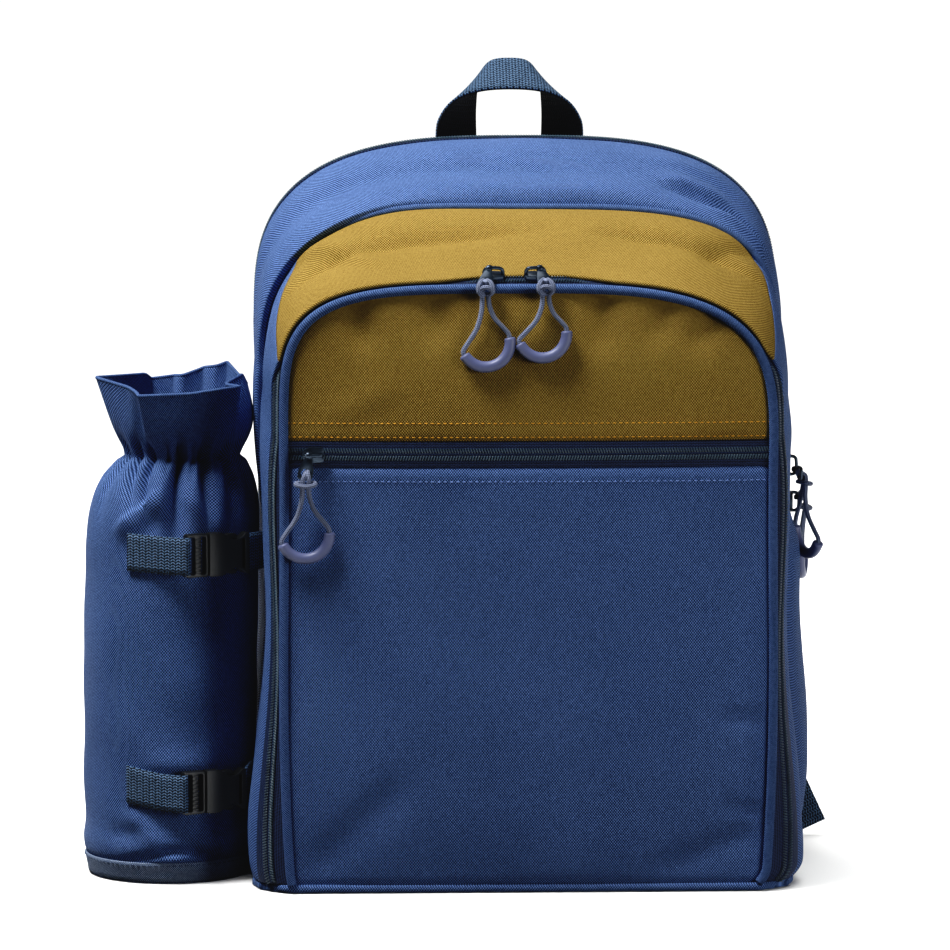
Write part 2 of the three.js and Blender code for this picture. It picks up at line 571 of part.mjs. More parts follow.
function sliderGeometry() {
  const { length, width, nose, height, bar, barHalf, crownHalf, crownInset, crownSink, post } = SLIDER;
  const body = new Shape([
    new Vector2(-length / 2, -nose / 2), new Vector2(0, -width / 2), new Vector2(length / 2, -width / 2),
    new Vector2(length / 2, width / 2), new Vector2(0, width / 2), new Vector2(-length / 2, nose / 2)]);
  const crownEnd = length / 2 - crownInset;
  const crown = rectangle(-crownEnd, height - crownSink, crownEnd, bar + barHalf);
  crown.holes.push(rectangle(-crownEnd + post, height, crownEnd - post, bar - barHalf, Path));
  const loop = plate(crown, 2 * crownHalf).rotateX(Math.PI / 2).translate(0, crownHalf, 0);
  return join(plate(body, height), loop);
}

// Tab with its eye at the origin round the bar, which runs along X, and its hole at reach below
function tabGeometry(reach) {
  const { width, thickness, eye, eyeWall, eyeLength, eyeSides, hole, holeSides, lip, chamfer } = TAB;
  const ring = circle(eye + eyeWall, eyeSides);
  ring.holes.push(circle(eye, eyeSides, Path));
  const eyelet = plate(ring, eyeLength).rotateY(Math.PI / 2).translate(-eyeLength / 2, 0, 0);
  const top = -eye - eyeWall / 2;
  const low = -reach - hole - lip;
  const edge = [[eyeLength / 2, top], [width / 2, -reach + hole], [width / 2, low + chamfer],
    [width / 2 - chamfer, low]];
  const otherEdge = edge.map(([x, y]) => [-x, y]).reverse();
  const blade = new Shape([...edge, ...otherEdge].map(([x, y]) => new Vector2(x, y)));
  const corner = (_, i) => {
    const angle = (2 * Math.PI * i) / holeSides;
    return new Vector2(hole * Math.cos(angle), hole * Math.sin(angle) - reach);
  };
  blade.holes.push(new Path(Array.from({ length: holeSides }, corner)));
  const leaf = plate(blade, thickness).rotateX(Math.PI / 2).translate(0, thickness / 2, 0);
  return join(eyelet, leaf);
}

// Route of a pull's cord from behind the tab's hole, down through the grip and up again,
// in the loop's own plane: u to the right, v up, n away from the bag.
function pullRoute(pull) {
  const { bend, first, last, points } = GRIP;
  const swing = degToRad(pull.swing);
  const centre = new Vector2(pull.drop * Math.sin(swing), -pull.drop * Math.cos(swing));
  const onGrip = (degrees) => {
    const angle = degToRad(degrees + pull.roll);
    return new Vector3(centre.x + bend * Math.cos(angle), centre.y + bend * Math.sin(angle), 0);
  };
  const leg = (start, end) => LEG.map(({ fall, spread, off }) =>
    new Vector3(lerp(start.x, end.x, spread), lerp(start.y, end.y, fall), start.z * off));
  const arc = Array.from({ length: points }, (_, i) => onGrip(lerp(first, last, i / (points - 1))));
  const threaded = new Vector3(THREAD.across, THREAD.below, THREAD.clear * pull.clear);
  const leftTop = new Vector3(-HITCH.across, HITCH.below, pull.clear);
  const rightTop = new Vector3(HITCH.across, HITCH.below, pull.clear);
  const local = [new Vector3(...pull.start), new Vector3(0, 0, 0), threaded, leftTop,
    ...leg(leftTop, arc[0]), ...arc, ...leg(rightTop, arc.at(-1)).reverse(), rightTop];
  const turn = degToRad(pull.turn);
  const lean = degToRad(pull.lean);
  const right = new Vector3(Math.cos(turn), Math.sin(turn), 0);
  const flatOut = new Vector3(Math.sin(turn), -Math.cos(turn), 0);
  const up = new Vector3(0, 0, Math.cos(lean)).addScaledVector(flatOut, Math.sin(lean));
  const frame = new Matrix4().makeBasis(right, up, right.clone().cross(up));
  frame.setPosition(new Vector3(...pull.hole));
  return local.map((point) => point.applyMatrix4(frame));
}

function addPull(pull) {
  const run = new Vector3(...pull.run);
  const out = new Vector3(...pull.out).normalize();
  const seat = new Vector3(...pull.zip).addScaledVector(out, GAP);
  const onZip = new Matrix4().makeBasis(run, out.clone().cross(run), out).setPosition(seat);
  add(`zip_slider_${pull.name}`, sliderGeometry().applyMatrix4(onZip), 'black_metal');

  const bar = seat.clone().addScaledVector(out, SLIDER.bar).addScaledVector(run, pull.barShift);
  const hang = new Vector3(...pull.hole).sub(bar);
  const up = hang.clone().normalize().negate();
  const side = run.clone().addScaledVector(up, -run.dot(up)).normalize();
  const onBar = new Matrix4().makeBasis(side, up.clone().cross(side), up).setPosition(bar);
  add(`zip_tab_${pull.name}`, tabGeometry(hang.length()).applyMatrix4(onBar), 'black_metal');

  const route = pullRoute(pull);
  add(`pull_cord_${pull.name}`, tube(route, CORD.radius, CORD.steps), 'grey_cord');
  const gripRoute = between(route, GRIP.from, GRIP.to);
  add(`pull_grip_${pull.name}`, tube(gripRoute, GRIP.radius, GRIP.steps, GRIP.bore), 'grey_rubber');
}

addRearCompartment();
addFrontCompartment();
addFrontPanels();
addBase();
addHandle();
addShoulderStrap('left', -1);
addShoulderStrap('right', 1);
addPouch();
Object.entries(POUCH_STRAPS).forEach(([name, z]) => addPouchStrap(name, z));
PULLS.forEach(addPull);

export default backpack;
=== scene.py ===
# %% [markdown]
# # A picnic backpack in cloth, webbing and zips
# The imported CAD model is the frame: it says where each piece is and how large it is. This lesson dresses
# that frame. Every soft solid is replaced by sewn cloth, every zip gets its coil, and the small hardware
# gets its moulded and cast shapes. Sizes are in millimetres and turn into metres at the last moment.

# %% Load the frame
import math
import bmesh
import bpy
import numpy as np
from mathutils import Matrix, Vector, noise


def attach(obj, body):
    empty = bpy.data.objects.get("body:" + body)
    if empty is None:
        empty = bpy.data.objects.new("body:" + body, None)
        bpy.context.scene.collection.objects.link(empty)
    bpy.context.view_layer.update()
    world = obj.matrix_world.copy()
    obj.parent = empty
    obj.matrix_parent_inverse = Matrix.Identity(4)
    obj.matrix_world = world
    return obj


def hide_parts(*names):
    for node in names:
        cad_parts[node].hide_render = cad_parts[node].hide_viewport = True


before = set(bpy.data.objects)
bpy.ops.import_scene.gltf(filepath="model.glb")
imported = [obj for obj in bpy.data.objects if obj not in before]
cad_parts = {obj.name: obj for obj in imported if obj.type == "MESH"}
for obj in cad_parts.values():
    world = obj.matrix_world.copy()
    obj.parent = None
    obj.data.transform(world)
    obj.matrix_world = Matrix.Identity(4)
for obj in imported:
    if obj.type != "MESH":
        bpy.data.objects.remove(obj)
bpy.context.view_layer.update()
scene = bpy.context.scene
MM = 0.001

# %% [markdown]
# ## Camera, floor and light
# The photograph was taken from far away with a long lens, a little above the middle of the bag and a touch
# to its left. Its main light is large, soft and high at the left: the shoulders of the bag are bright, its
# upright front is darker, and the pouch falls off into black towards the bag. A weaker light low at the right
# fills the front, and two behind the bag trace its edges. The world is white for the camera only, as a
# studio's paper sweep would be.

# %% Camera
TARGET = Vector((-25.5, 0, 213.5)) * MM
DISTANCE = 3.0
AZIMUTH, ELEVATION = math.radians(-2), math.radians(6)
LENS = 210  # on a sensor 36 mm wide

camera_data = bpy.data.cameras.new("camera")
camera_data.lens = LENS
camera_data.sensor_width = 36
camera = bpy.data.objects.new("camera", camera_data)
scene.collection.objects.link(camera)
towards_camera = Vector((math.sin(AZIMUTH) * math.cos(ELEVATION), -math.cos(AZIMUTH) * math.cos(ELEVATION),
                         math.sin(ELEVATION)))
camera.location = TARGET + towards_camera * DISTANCE
camera.rotation_mode = "QUATERNION"
camera.rotation_quaternion = (-towards_camera).to_track_quat("-Z", "Y")
scene.camera = camera
scene.view_settings.view_transform = "Standard"
# The camera's tone curve draws shadows darker and richer than they were. It leaves white as it is and lifts
# black a little, as haze in a lens does.
TOE, HAZE = 0.055, 0.0032
scene.view_settings.use_curve_mapping = True
tone = scene.view_settings.curve_mapping
tone.curves[3].points[0].location = (0, HAZE)
for light in (0.02, 0.05, 0.1, 0.2, 0.35, 0.5, 0.75):
    tone.curves[3].points.new(light, HAZE + (1 - HAZE) * (1 + TOE) * light ** 2 / (light + TOE))
tone.update()
print("camera at", tuple(round(c, 3) for c in camera.location))


# %% Colours and nodes
def colour(hex_code):
    """An sRGB hex value as linear RGBA."""
    channels = [int(hex_code[i:i + 2], 16) / 255 for i in (1, 3, 5)]
    linear = [c / 12.92 if c <= 0.04045 else ((c + 0.055) / 1.055) ** 2.4 for c in channels]
    return (*linear, 1.0)


def add_node(tree, kind, inputs=None, **settings):
    """Adds a node with its settings and links.

    Each input is a plain value, a socket, or a node, whose first output it takes.
    """
    made = tree.nodes.new(kind)
    for name, value in settings.items():
        setattr(made, name, value)
    for socket, value in (inputs or {}).items():
        if isinstance(value, bpy.types.Node):
            value = value.outputs[0]
        if isinstance(value, bpy.types.NodeSocket):
            tree.links.new(value, made.inputs[socket])
        else:
            made.inputs[socket].default_value = value
    return made


def new_material(name, **principled):
    """A material with a Principled shader, whose plain values are set on its own sockets."""
    material = bpy.data.materials.new(name)
    material.use_nodes = True
    shader = material.node_tree.nodes["Principled BSDF"]
    for socket, value in principled.items():
        shader.inputs[socket.replace("_", " ")].default_value = value
    return material, material.node_tree


# %% Floor and lights
LIGHTS = [
    {"name": "upper_left", "place": (-0.93, -0.42, 2.17), "width": 0.8, "watts": 76},
    {"name": "above_behind", "place": (-0.35, 0.75, 2.2), "width": 0.9, "watts": 11},
    {"name": "right", "place": (1.85, -1.5, 0.3), "width": 1.0, "watts": 25},
    {"name": "behind", "place": (0.3, 2.1, 0.9), "width": 1.2, "watts": 6},
]
FLOOR_RADIUS = 30.0
FLOOR_DROP = 0.0004
FLOOR_LIGHT = 3.9  # watts on each square metre, which makes the paper white
SURROUND = 0.012  # strength of the light that comes from all round


def add_light(name, kind, place, **settings):
    """A lamp that points at the middle of the bag."""
    lamp = bpy.data.objects.new(name, bpy.data.lights.new(name, kind))
    scene.collection.objects.link(lamp)
    for setting, value in settings.items():
        setattr(lamp.data, setting, value)
    lamp.location = place
    lamp.rotation_mode = "QUATERNION"
    lamp.rotation_quaternion = (TARGET - lamp.location).to_track_quat("-Z", "Y")
    return lamp


for light in LIGHTS:
    add_light(light["name"], "AREA", light["place"], size=light["width"], energy=light["watts"])

paper = new_material("pale_paper", Roughness=0.9, Base_Color=colour("#f4f4f2"))[0]
floor_mesh = bmesh.new()
bmesh.ops.create_circle(floor_mesh, cap_ends=True, segments=96, radius=FLOOR_RADIUS)
bmesh.ops.translate(floor_mesh, verts=floor_mesh.verts, vec=(0, 0, -FLOOR_DROP))
floor_data = bpy.data.meshes.new("floor")
floor_mesh.to_mesh(floor_data)
floor_mesh.free()
floor_data.materials.append(paper)
floor = bpy.data.objects.new("floor", floor_data)
scene.collection.objects.link(floor)
floor.visible_diffuse = False  # the paper does not light the bag from below
floor_only = bpy.data.collections.new("floor_only")
floor_only.objects.link(floor)
sun = add_light("floor_light", "SUN", TARGET + Vector((0, 0, 3)), energy=FLOOR_LIGHT, angle=math.radians(60))
sun.light_linking.receiver_collection = floor_only

world = bpy.data.worlds.new("studio")
world.use_nodes = True
scene.world = world
sky = world.node_tree
sky.nodes.clear()
sweep_light = add_node(sky, "ShaderNodeBackground", {"Color": (1, 1, 1, 1), "Strength": 1.0})
room_light = add_node(sky, "ShaderNodeBackground", {"Color": (1, 1, 1, 1), "Strength": SURROUND})
ray = add_node(sky, "ShaderNodeLightPath")
both = add_node(sky, "ShaderNodeMixShader", {0: ray.outputs["Is Camera Ray"], 1: room_light, 2: sweep_light})
add_node(sky, "ShaderNodeOutputWorld", {"Surface": both})
print("lights:", [light["name"] for light in LIGHTS])

# %% [markdown]
# ## Materials
# Each finish follows what the real surface is. The bag is woven from thick polyester yarn, so its cloth is a
# grid of small raised dots, lighter on top of each yarn and darker between them. Tapes and webbing are woven
# too, with ribs and chevrons. A pattern that follows the cloth needs a UV map, and every cloth piece below
# carries one in metres, so that a yarn spacing in millimetres is drawn at its true size.


# %% Patterns that the materials share
MATH = "ShaderNodeMath"


def uv_axes(tree):
    """The two directions of a piece's own UV map, in metres."""
    place = add_node(tree, "ShaderNodeUVMap", uv_map="UVMap")
    split = add_node(tree, "ShaderNodeSeparateXYZ", {0: place})
    return split.outputs["X"], split.outputs["Y"]


def ribs(tree, length, period_mm):
    """A wave of -1 to 1 along a length in metres, one for each period."""
    turns = add_node(tree, MATH, {0: length, 1: 2 * math.pi / (period_mm * MM)}, operation="MULTIPLY")
    return add_node(tree, MATH, {0: turns}, operation="SINE")


def blotches(tree, size_mm, detail=3.0):
    """Soft noise over the object, with blotches of about a size."""
    place = add_node(tree, "ShaderNodeTexCoord")
    inputs = {"Vector": place.outputs["Object"], "Scale": 1 / (size_mm * MM), "Detail": detail}
    return add_node(tree, "ShaderNodeTexNoise", inputs)


def finish_surface(material, share, low, high, height, depth_mm, strength):
    """Mixes two colours by a share and raises the surface by a height, on the material's own shader."""
    tree = material.node_tree
    shader = tree.nodes["Principled BSDF"]
    tint = add_node(tree, "ShaderNodeMix", {0: share, 6: colour(low), 7: colour(high)}, data_type="RGBA")
    relief = {"Height": height, "Distance": depth_mm * MM, "Strength": strength}
    raised = add_node(tree, "ShaderNodeBump", relief)
    tree.links.new(tint.outputs[2], shader.inputs["Base Color"])
    tree.links.new(raised.outputs["Normal"], shader.inputs["Normal"])
    return material


# %% Woven polyester
# Spacing of the yarns along and across the cloth in millimetres. The real one is about 0.9; it is drawn
# coarser so that it shows.
YARN = (1.4, 1.7)


def woven_polyester(name, between, on_top, yarn=YARN, depth=0.34):
    """Plain weave of thick matt yarn: a light dot on each crossing, dark gaps between, a dull shine."""
    material, tree = new_material(name, Roughness=0.62, Specular_IOR_Level=0.07)
    along, across = uv_axes(tree)
    crossing = add_node(tree, MATH, {0: ribs(tree, along, yarn[0]), 1: ribs(tree, across, yarn[1])},
                        operation="MULTIPLY")
    uneven = add_node(tree, MATH, {0: blotches(tree, 1.4, 2.0), 1: 0.5}, operation="SUBTRACT")
    height = add_node(tree, MATH, {0: uneven, 1: 0.7, 2: crossing}, operation="MULTIPLY_ADD")
    lightness = add_node(tree, MATH, {0: height, 1: 0.82, 2: 0.2}, operation="MULTIPLY_ADD")
    faded = blotches(tree, 60, 2.0)
    share = add_node(tree, MATH, {0: faded, 1: 0.25, 2: lightness}, operation="MULTIPLY_ADD", use_clamp=True)
    return finish_surface(material, share, between, on_top, height, depth, 0.6)


BLUE = woven_polyester("blue_oxford_polyester", "#10264a", "#8cadee")
MUSTARD = woven_polyester("mustard_oxford_polyester", "#5e430c", "#d9bb6c")
PIPING = woven_polyester("blue_bias_cloth", "#182c52", "#7f9dd6", yarn=(1.2, 1.2), depth=0.2)


# %% Webbing, tape and grosgrain
def chevron_webbing(name, groove, rib, column, stroke, depth=0.5):
    """Narrow woven webbing: columns of slanting yarns that lean left and right in turn, with a dull shine."""
    material, tree = new_material(name, Roughness=0.55, Specular_IOR_Level=0.14)
    along, across = uv_axes(tree)
    zigzag = add_node(tree, MATH, {0: along, 1: column * MM}, operation="PINGPONG")
    slanted = add_node(tree, MATH, {0: zigzag, 1: 0.6, 2: across}, operation="MULTIPLY_ADD")
    columns = add_node(tree, MATH, {0: ribs(tree, along, 2 * column)}, operation="ABSOLUTE")
    strokes = ribs(tree, slanted, stroke)
    height = add_node(tree, MATH, {0: strokes, 1: 0.8, 2: columns}, operation="MULTIPLY_ADD")
    uneven = add_node(tree, MATH, {0: blotches(tree, 2.0), 1: 0.8, 2: -0.4}, operation="MULTIPLY_ADD")
    share = add_node(tree, MATH, {0: height, 1: 0.7, 2: uneven}, operation="MULTIPLY_ADD", use_clamp=True)
    return finish_surface(material, share, groove, rib, height, depth, 0.7)


WEBBING = chevron_webbing("navy_chevron_webbing", "#04070d", "#6f8cae", column=1.75, stroke=1.55)
# The handle's inner layer is the same weave painted near-black: painted shade, where the handle's top shades
# its legs.
WEBBING_PAINTED_SHADE = chevron_webbing("navy_webbing_painted_shade", "#020305", "#141b25", column=1.75, stroke=1.55)
GROSGRAIN = woven_polyester("navy_grosgrain", "#384a6c", "#c2d3ee", yarn=(1.1, 1.3), depth=0.25)
TAPE = chevron_webbing("navy_zip_tape", "#161d2e", "#38466a", column=0.9, stroke=1.4, depth=0.15)


# %% Nylon, plastic, metal and vinyl
def moulded(name, dark, light, grain_mm, depth_mm, **principled):
    """A drawn, moulded or cast surface: one colour with slight clouding, and the fine grain of its mould."""
    material, tree = new_material(name, **principled)
    clouds, grain = blotches(tree, 9.0), blotches(tree, grain_mm, 1.0)
    return finish_surface(material, clouds, dark, light, grain, depth_mm, 0.35)


COIL = moulded("navy_nylon_coil", "#1c2a36", "#5a7484", 0.4, 0.05, Roughness=0.3, IOR=1.53)
ACETAL = moulded("black_acetal", "#0d0f11", "#1a1d20", 0.5, 0.03, Roughness=0.42, IOR=1.48)
ZINC = moulded("black_lacquered_zinc", "#1a232e", "#3a4858", 1.2, 0.04, Roughness=0.28, Metallic=0.55)
VINYL = moulded("grey_violet_vinyl", "#585f86", "#737a9f", 0.6, 0.02, Roughness=0.45, IOR=1.5)
THREADS = {
    "mustard": moulded("mustard_thread", "#c8871a", "#f2b63c", 0.3, 0.05, Roughness=0.6),
    "blue": moulded("blue_thread", "#4a68ad", "#9db8f0", 0.3, 0.05, Roughness=0.6),
    "navy": moulded("navy_thread", "#26344c", "#5a6f90", 0.3, 0.05, Roughness=0.6),
}


# %% Braided cord
def braided_cord(name, shade, strand, pitch):
    """Round braid: strands cross in small diamonds, and each has a soft highlight."""
    material, tree = new_material(name, Roughness=0.55, Sheen_Weight=0.2, Sheen_Roughness=0.4)
    around, along = uv_axes(tree)
    rising = add_node(tree, MATH, {0: around, 1: along}, operation="ADD")
    falling = add_node(tree, MATH, {0: around, 1: along}, operation="SUBTRACT")
    strands = {0: ribs(tree, rising, pitch), 1: ribs(tree, falling, pitch)}
    height = add_node(tree, MATH, strands, operation="MULTIPLY")
    share = add_node(tree, MATH, {0: height, 1: 0.5, 2: 0.5}, operation="MULTIPLY_ADD")
    return finish_surface(material, share, shade, strand, height, 0.35, 0.7)


CORD = braided_cord("grey_blue_braid", "#18213e", "#a9b6d8", 2.0)

# %% [markdown]
# ## Bending a grid into cloth
# Almost every soft piece is a sheet that was cut flat and then sewn into a curve. In Blender that is a plain
# grid whose points are moved to where the sewn cloth lies. One function does this for all of them and writes
# the UV map from the true lengths along the cloth. A tube is the same grid, closed round on itself.


# %% Grid helpers
ASLANT = (0.31, 0.83, 0.47)  # a way that no line below starts in


def cloth_lengths(rows):
    """Lengths along each row from its middle, and across the rows from the first."""
    along = np.zeros(rows.shape[:2])
    along[:, 1:] = np.cumsum(np.linalg.norm(np.diff(rows, axis=1), axis=2), axis=1)
    across = np.zeros(rows.shape[:2])
    across[1:] = np.cumsum(np.linalg.norm(np.diff(rows, axis=0), axis=2), axis=0)
    return along - along[:, rows.shape[1] // 2][:, None], across


def bend_grid(rows, inside=None, around=False, caps=False, flat=None):
    """A grid moved through rows of points in millimetres; it faces away from the point inside.

    The UV map has the lengths along the cloth, or those given as flat, along and across, for gathered cloth.
    """
    rows = np.asarray(rows, float) * MM
    count, columns = rows.shape[:2]
    grid = bmesh.new()
    bmesh.ops.create_grid(grid, x_segments=columns - 1, y_segments=count - 1, size=1)
    along, across = cloth_lengths(rows)
    if flat is not None:
        along, across = (np.broadcast_to(lengths, (count, columns)) * MM for lengths in flat)
    layer = grid.loops.layers.uv.new("UVMap")
    cells = {}
    for vert in grid.verts:
        row = round((vert.co.y + 1) / 2 * (count - 1))
        cells[vert] = (row, round((vert.co.x + 1) / 2 * (columns - 1)))
    for face in grid.faces:
        for loop in face.loops:
            loop[layer].uv = (along[cells[loop.vert]], across[cells[loop.vert]])
    for vert, cell in cells.items():
        vert.co = rows[cell]
    if around:
        bmesh.ops.remove_doubles(grid, verts=grid.verts, dist=1e-7)
    if caps:
        rims = [edge for edge in grid.edges if edge.is_boundary]
        bmesh.ops.holes_fill(grid, edges=rims, sides=0)
    if inside is None:
        bmesh.ops.recalc_face_normals(grid, faces=grid.faces)
    else:
        middle = Vector(inside) * MM
        grid.normal_update()
        if sum(face.normal.dot(face.calc_center_median() - middle) for face in grid.faces) < 0:
            bmesh.ops.reverse_faces(grid, faces=grid.faces)
    return grid


def make_piece(name, made, material, nodes=(), wall=0.0, sharp=None):
    """Turns a bmesh into a piece that rides on the bag. A Solidify modifier gives it its wall."""
    mesh = bpy.data.meshes.new(name)
    made.to_mesh(mesh)
    made.free()
    mesh.materials.append(material)
    mesh.shade_smooth()
    if sharp:
        mesh.set_sharp_from_angle(angle=math.radians(sharp))
    piece = bpy.data.objects.new(name, mesh)
    scene.collection.objects.link(piece)
    if wall:
        thickness = piece.modifiers.new("Wall", "SOLIDIFY")
        thickness.thickness = wall * MM
        thickness.offset = -1
    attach(piece, "root")
    if nodes:
        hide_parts(*nodes)
    print(name, len(mesh.polygons), "faces")
    return piece


def smooth_line(points, count):
    """A line of evenly timed points on a Catmull-Rom curve through some points."""
    points = np.asarray(points, float)
    before = 2 * points[0] - points[1]
    after = 2 * points[-1] - points[-2]
    knots = np.vstack([before, points, after])
    places = np.linspace(0, len(points) - 1, count)
    spans = np.minimum(places.astype(int), len(points) - 2)
    share = (places - spans)[:, None]
    p0, p1, p2, p3 = (knots[spans + i] for i in range(4))
    return 0.5 * (2 * p1 + (p2 - p0) * share + (2 * p0 - 5 * p1 + 4 * p2 - p3) * share ** 2
                  + (3 * p1 - p0 - 3 * p2 + p3) * share ** 3)


def line_lengths(line):
    """Length along a line from its start to each of its points."""
    return np.concatenate([[0], np.cumsum(np.linalg.norm(np.diff(line, axis=0), axis=1))])


def even_line(line, step):
    """The same line with its points a step apart."""
    lengths = line_lengths(line)
    places = np.linspace(0, lengths[-1], max(2, round(lengths[-1] / step) + 1))
    return np.column_stack([np.interp(places, lengths, line[:, i]) for i in range(line.shape[1])])


def unit(vectors):
    vectors = np.asarray(vectors, float)
    return vectors / np.maximum(np.linalg.norm(vectors, axis=-1, keepdims=True), 1e-12)


def tube_rows(line, radius, sides=10):
    """Rings round a line, carried along it without twisting. The radius may differ along the line."""
    line = np.asarray(line, float)
    radii = np.broadcast_to(np.asarray(radius, float), (len(line),))
    ways = unit(np.gradient(line, axis=0))
    side = unit(np.cross(ways[0], ASLANT))
    angles = np.linspace(0, 2 * math.pi, sides + 1)
    rings = []
    for point, way, reach in zip(line, ways, radii):
        side = unit(side - way * side.dot(way))
        other = np.cross(way, side)
        ring = np.outer(np.cos(angles), side) + np.outer(np.sin(angles), other)
        ring[-1] = ring[0]
        rings.append(point + reach * ring)
    return np.array(rings)


def tube(line, radius, sides=10):
    """A closed tube along a line."""
    return bend_grid(tube_rows(line, radius, sides), around=True, caps=True)


def ramp(values, start, over):
    """0 before a start and 1 from a length further on."""
    return np.clip((values - start) / over, 0, 1)


def axes_at(origin, x_way, y_way, z_way):
    axes = Matrix((Vector(x_way), Vector(y_way), Vector(z_way))).transposed().to_4x4()
    axes.translation = Vector(origin)
    return axes


def joined(parts):
    """One bmesh from several, which are used up."""
    whole = bmesh.new()
    for part in parts:
        data = bpy.data.meshes.new("part")
        part.to_mesh(data)
        part.free()
        whole.from_mesh(data)
        bpy.data.meshes.remove(data)
    return whole


# %% [markdown]
# ## Zip pulls, cords first
# Each zip slider carries a tab, and through the tab's hole runs a loop of thin braided cord with a curved
# vinyl grip on its bend. The cord's route is a list of given points, the same as in the CAD model: it
# threads the hole, falls, spreads, goes round through the grip and comes back. A tube along that route is
# the cord. The knot that holds it on the tab is a separate short tube, because a cord may not lie in itself.

# %% Sizes of the pulls
# The zip's place, run and way out carry the slider. The bar's shift and the hole place the tab. The rest
# shapes the loop of cord.
PULL_COLUMNS = ("name", "zip", "run", "out", "bar_shift", "hole", "start", "clear", "turn", "lean", "swing",
                "roll", "drop")
PULLS = [dict(zip(PULL_COLUMNS, row)) for row in [
    ("pocket", (-113.5, -86.9, 233.7), (1, 0, 0), (0, -1, 0), -2.3,
     (-117.6, -93.8, 224.5), (0, 0, -2.2), 2.8, 0, 3.5, -0.5, 14, 32.6),
    ("front_left", (-18.6, -78.6, 325.2), (1, 0, 0), (0, -0.36, 0.93), -2.3,
     (-23.2, -90.6, 323.4), (0, 1.8, 1.5), -0.5, 0, -3, 0.2, 21, 30.6),
    ("front_right", (3.4, -78.6, 325.2), (-1, 0, 0), (0, -0.36, 0.93), -2.3,
     (8.4, -90.6, 323.8), (0, 1.8, 1.5), -0.5, 0, -3, -4, 15, 26.4),
    ("main_upper", (147.2, 51, 213), (0, 0, -1), (1, 0, 0), 2.3,
     (154.8, 41, 209.5), (0, 0, -2.2), 2.8, 115, -2, -11, 16, 31.5),
    ("main_lower", (148.6, 51, 193), (0, 0, 1), (1, 0, 0), 2.3,
     (156.8, 60.8, 194.2), (0, 0, -2.2), 2.8, 80, -1, 5, -6, 30)]]
CORD_RADIUS = 1.3
CORD_POINTS, STRAND_POINTS = 141, 33
THREAD = {"across": -0.6, "below": -1.1, "clear": 0.95}
HITCH = {"across": 1.5, "below": -4.5}
LEG = [{"fall": 0.3, "spread": 0.05, "off": 0.6}, {"fall": 0.6, "spread": 0.3, "off": 0.2},
       {"fall": 0.84, "spread": 0.74, "off": 0}]
GRIP = {"radius": 3.0, "bend": 12.8, "first": 182, "last": 358, "points": 9, "from": 7.3, "to": 14.7,
        "step": 0.7, "clear": 0.15, "end": 0.55}
# Knots in the plane of a loop: across, up and away from the bag. A wrap lies in front of the two legs; ears
# curl forward on both sides of them.
WRAP_KNOT = [
    [(-0.5, -4.9, 0.6), (-4.2, -5.0, 0.9), (-5.0, -5.4, 3.2), (-2.6, -6.0, 5.2), (0, -6.2, 5.6),
     (2.6, -6.0, 5.2), (5.0, -5.4, 3.2), (4.2, -5.0, 0.9), (0.5, -4.9, 0.6)],
    [(1.8, -5.2, 2.8), (1.7, -2.6, 3.0), (1.3, -0.4, 2.2), (1.0, 0.7, 0.4), (0.9, 0.9, -1.2)],
]
EAR = [(0.4, -5.2, -1.6), (-1.8, -5.6, 0.4), (-3.5, -4.2, 1.8), (-3.7, -1.4, 2.0), (-2.5, 0.9, 1.0),
       (-0.8, 1.9, -0.9)]
OVER_EARS = [(-3.2, -3.4, 1.4), (-1.6, -2.0, 2.6), (0, -1.7, 2.9), (1.6, -2.0, 2.6), (3.2, -3.4, 1.4)]
EAR_KNOT = [EAR, [(-x, y, z) for x, y, z in EAR], OVER_EARS]


# %% Route of a pull
def loop_frame(pull):
    """The loop's own axes: right, up and away from the bag, about the tab's hole."""
    turn, lean = math.radians(pull["turn"]), math.radians(pull["lean"])
    right = Vector((math.cos(turn), math.sin(turn), 0))
    flat_out = Vector((math.sin(turn), -math.cos(turn), 0))
    up = Vector((0, 0, math.cos(lean))) + flat_out * math.sin(lean)
    return axes_at(pull["hole"], right, up, right.cross(up))


def pull_route(pull):
    """The cord's points, in millimetres, from behind the hole round through the grip and back up."""
    swing = math.radians(pull["swing"])
    centre = (pull["drop"] * math.sin(swing), -pull["drop"] * math.cos(swing))
    degrees = np.linspace(GRIP["first"], GRIP["last"], GRIP["points"]) + pull["roll"]
    arc = [(centre[0] + GRIP["bend"] * math.cos(a), centre[1] + GRIP["bend"] * math.sin(a), 0)
           for a in np.radians(degrees)]

    def leg(start, end):
        return [(start[0] + (end[0] - start[0]) * row["spread"], start[1] + (end[1] - start[1]) * row["fall"],
                 start[2] * row["off"]) for row in LEG]

    clear = pull["clear"]
    left_top = (-HITCH["across"], HITCH["below"], clear)
    right_top = (HITCH["across"], HITCH["below"], clear)
    threaded = (THREAD["across"], THREAD["below"], THREAD["clear"] * clear)
    local = [pull["start"], (0, 0, 0), threaded, left_top, *leg(left_top, arc[0]), *arc,
             *leg(right_top, arc[-1])[::-1], right_top]
    axes = loop_frame(pull)
    return np.array([axes @ Vector(point) for point in local])


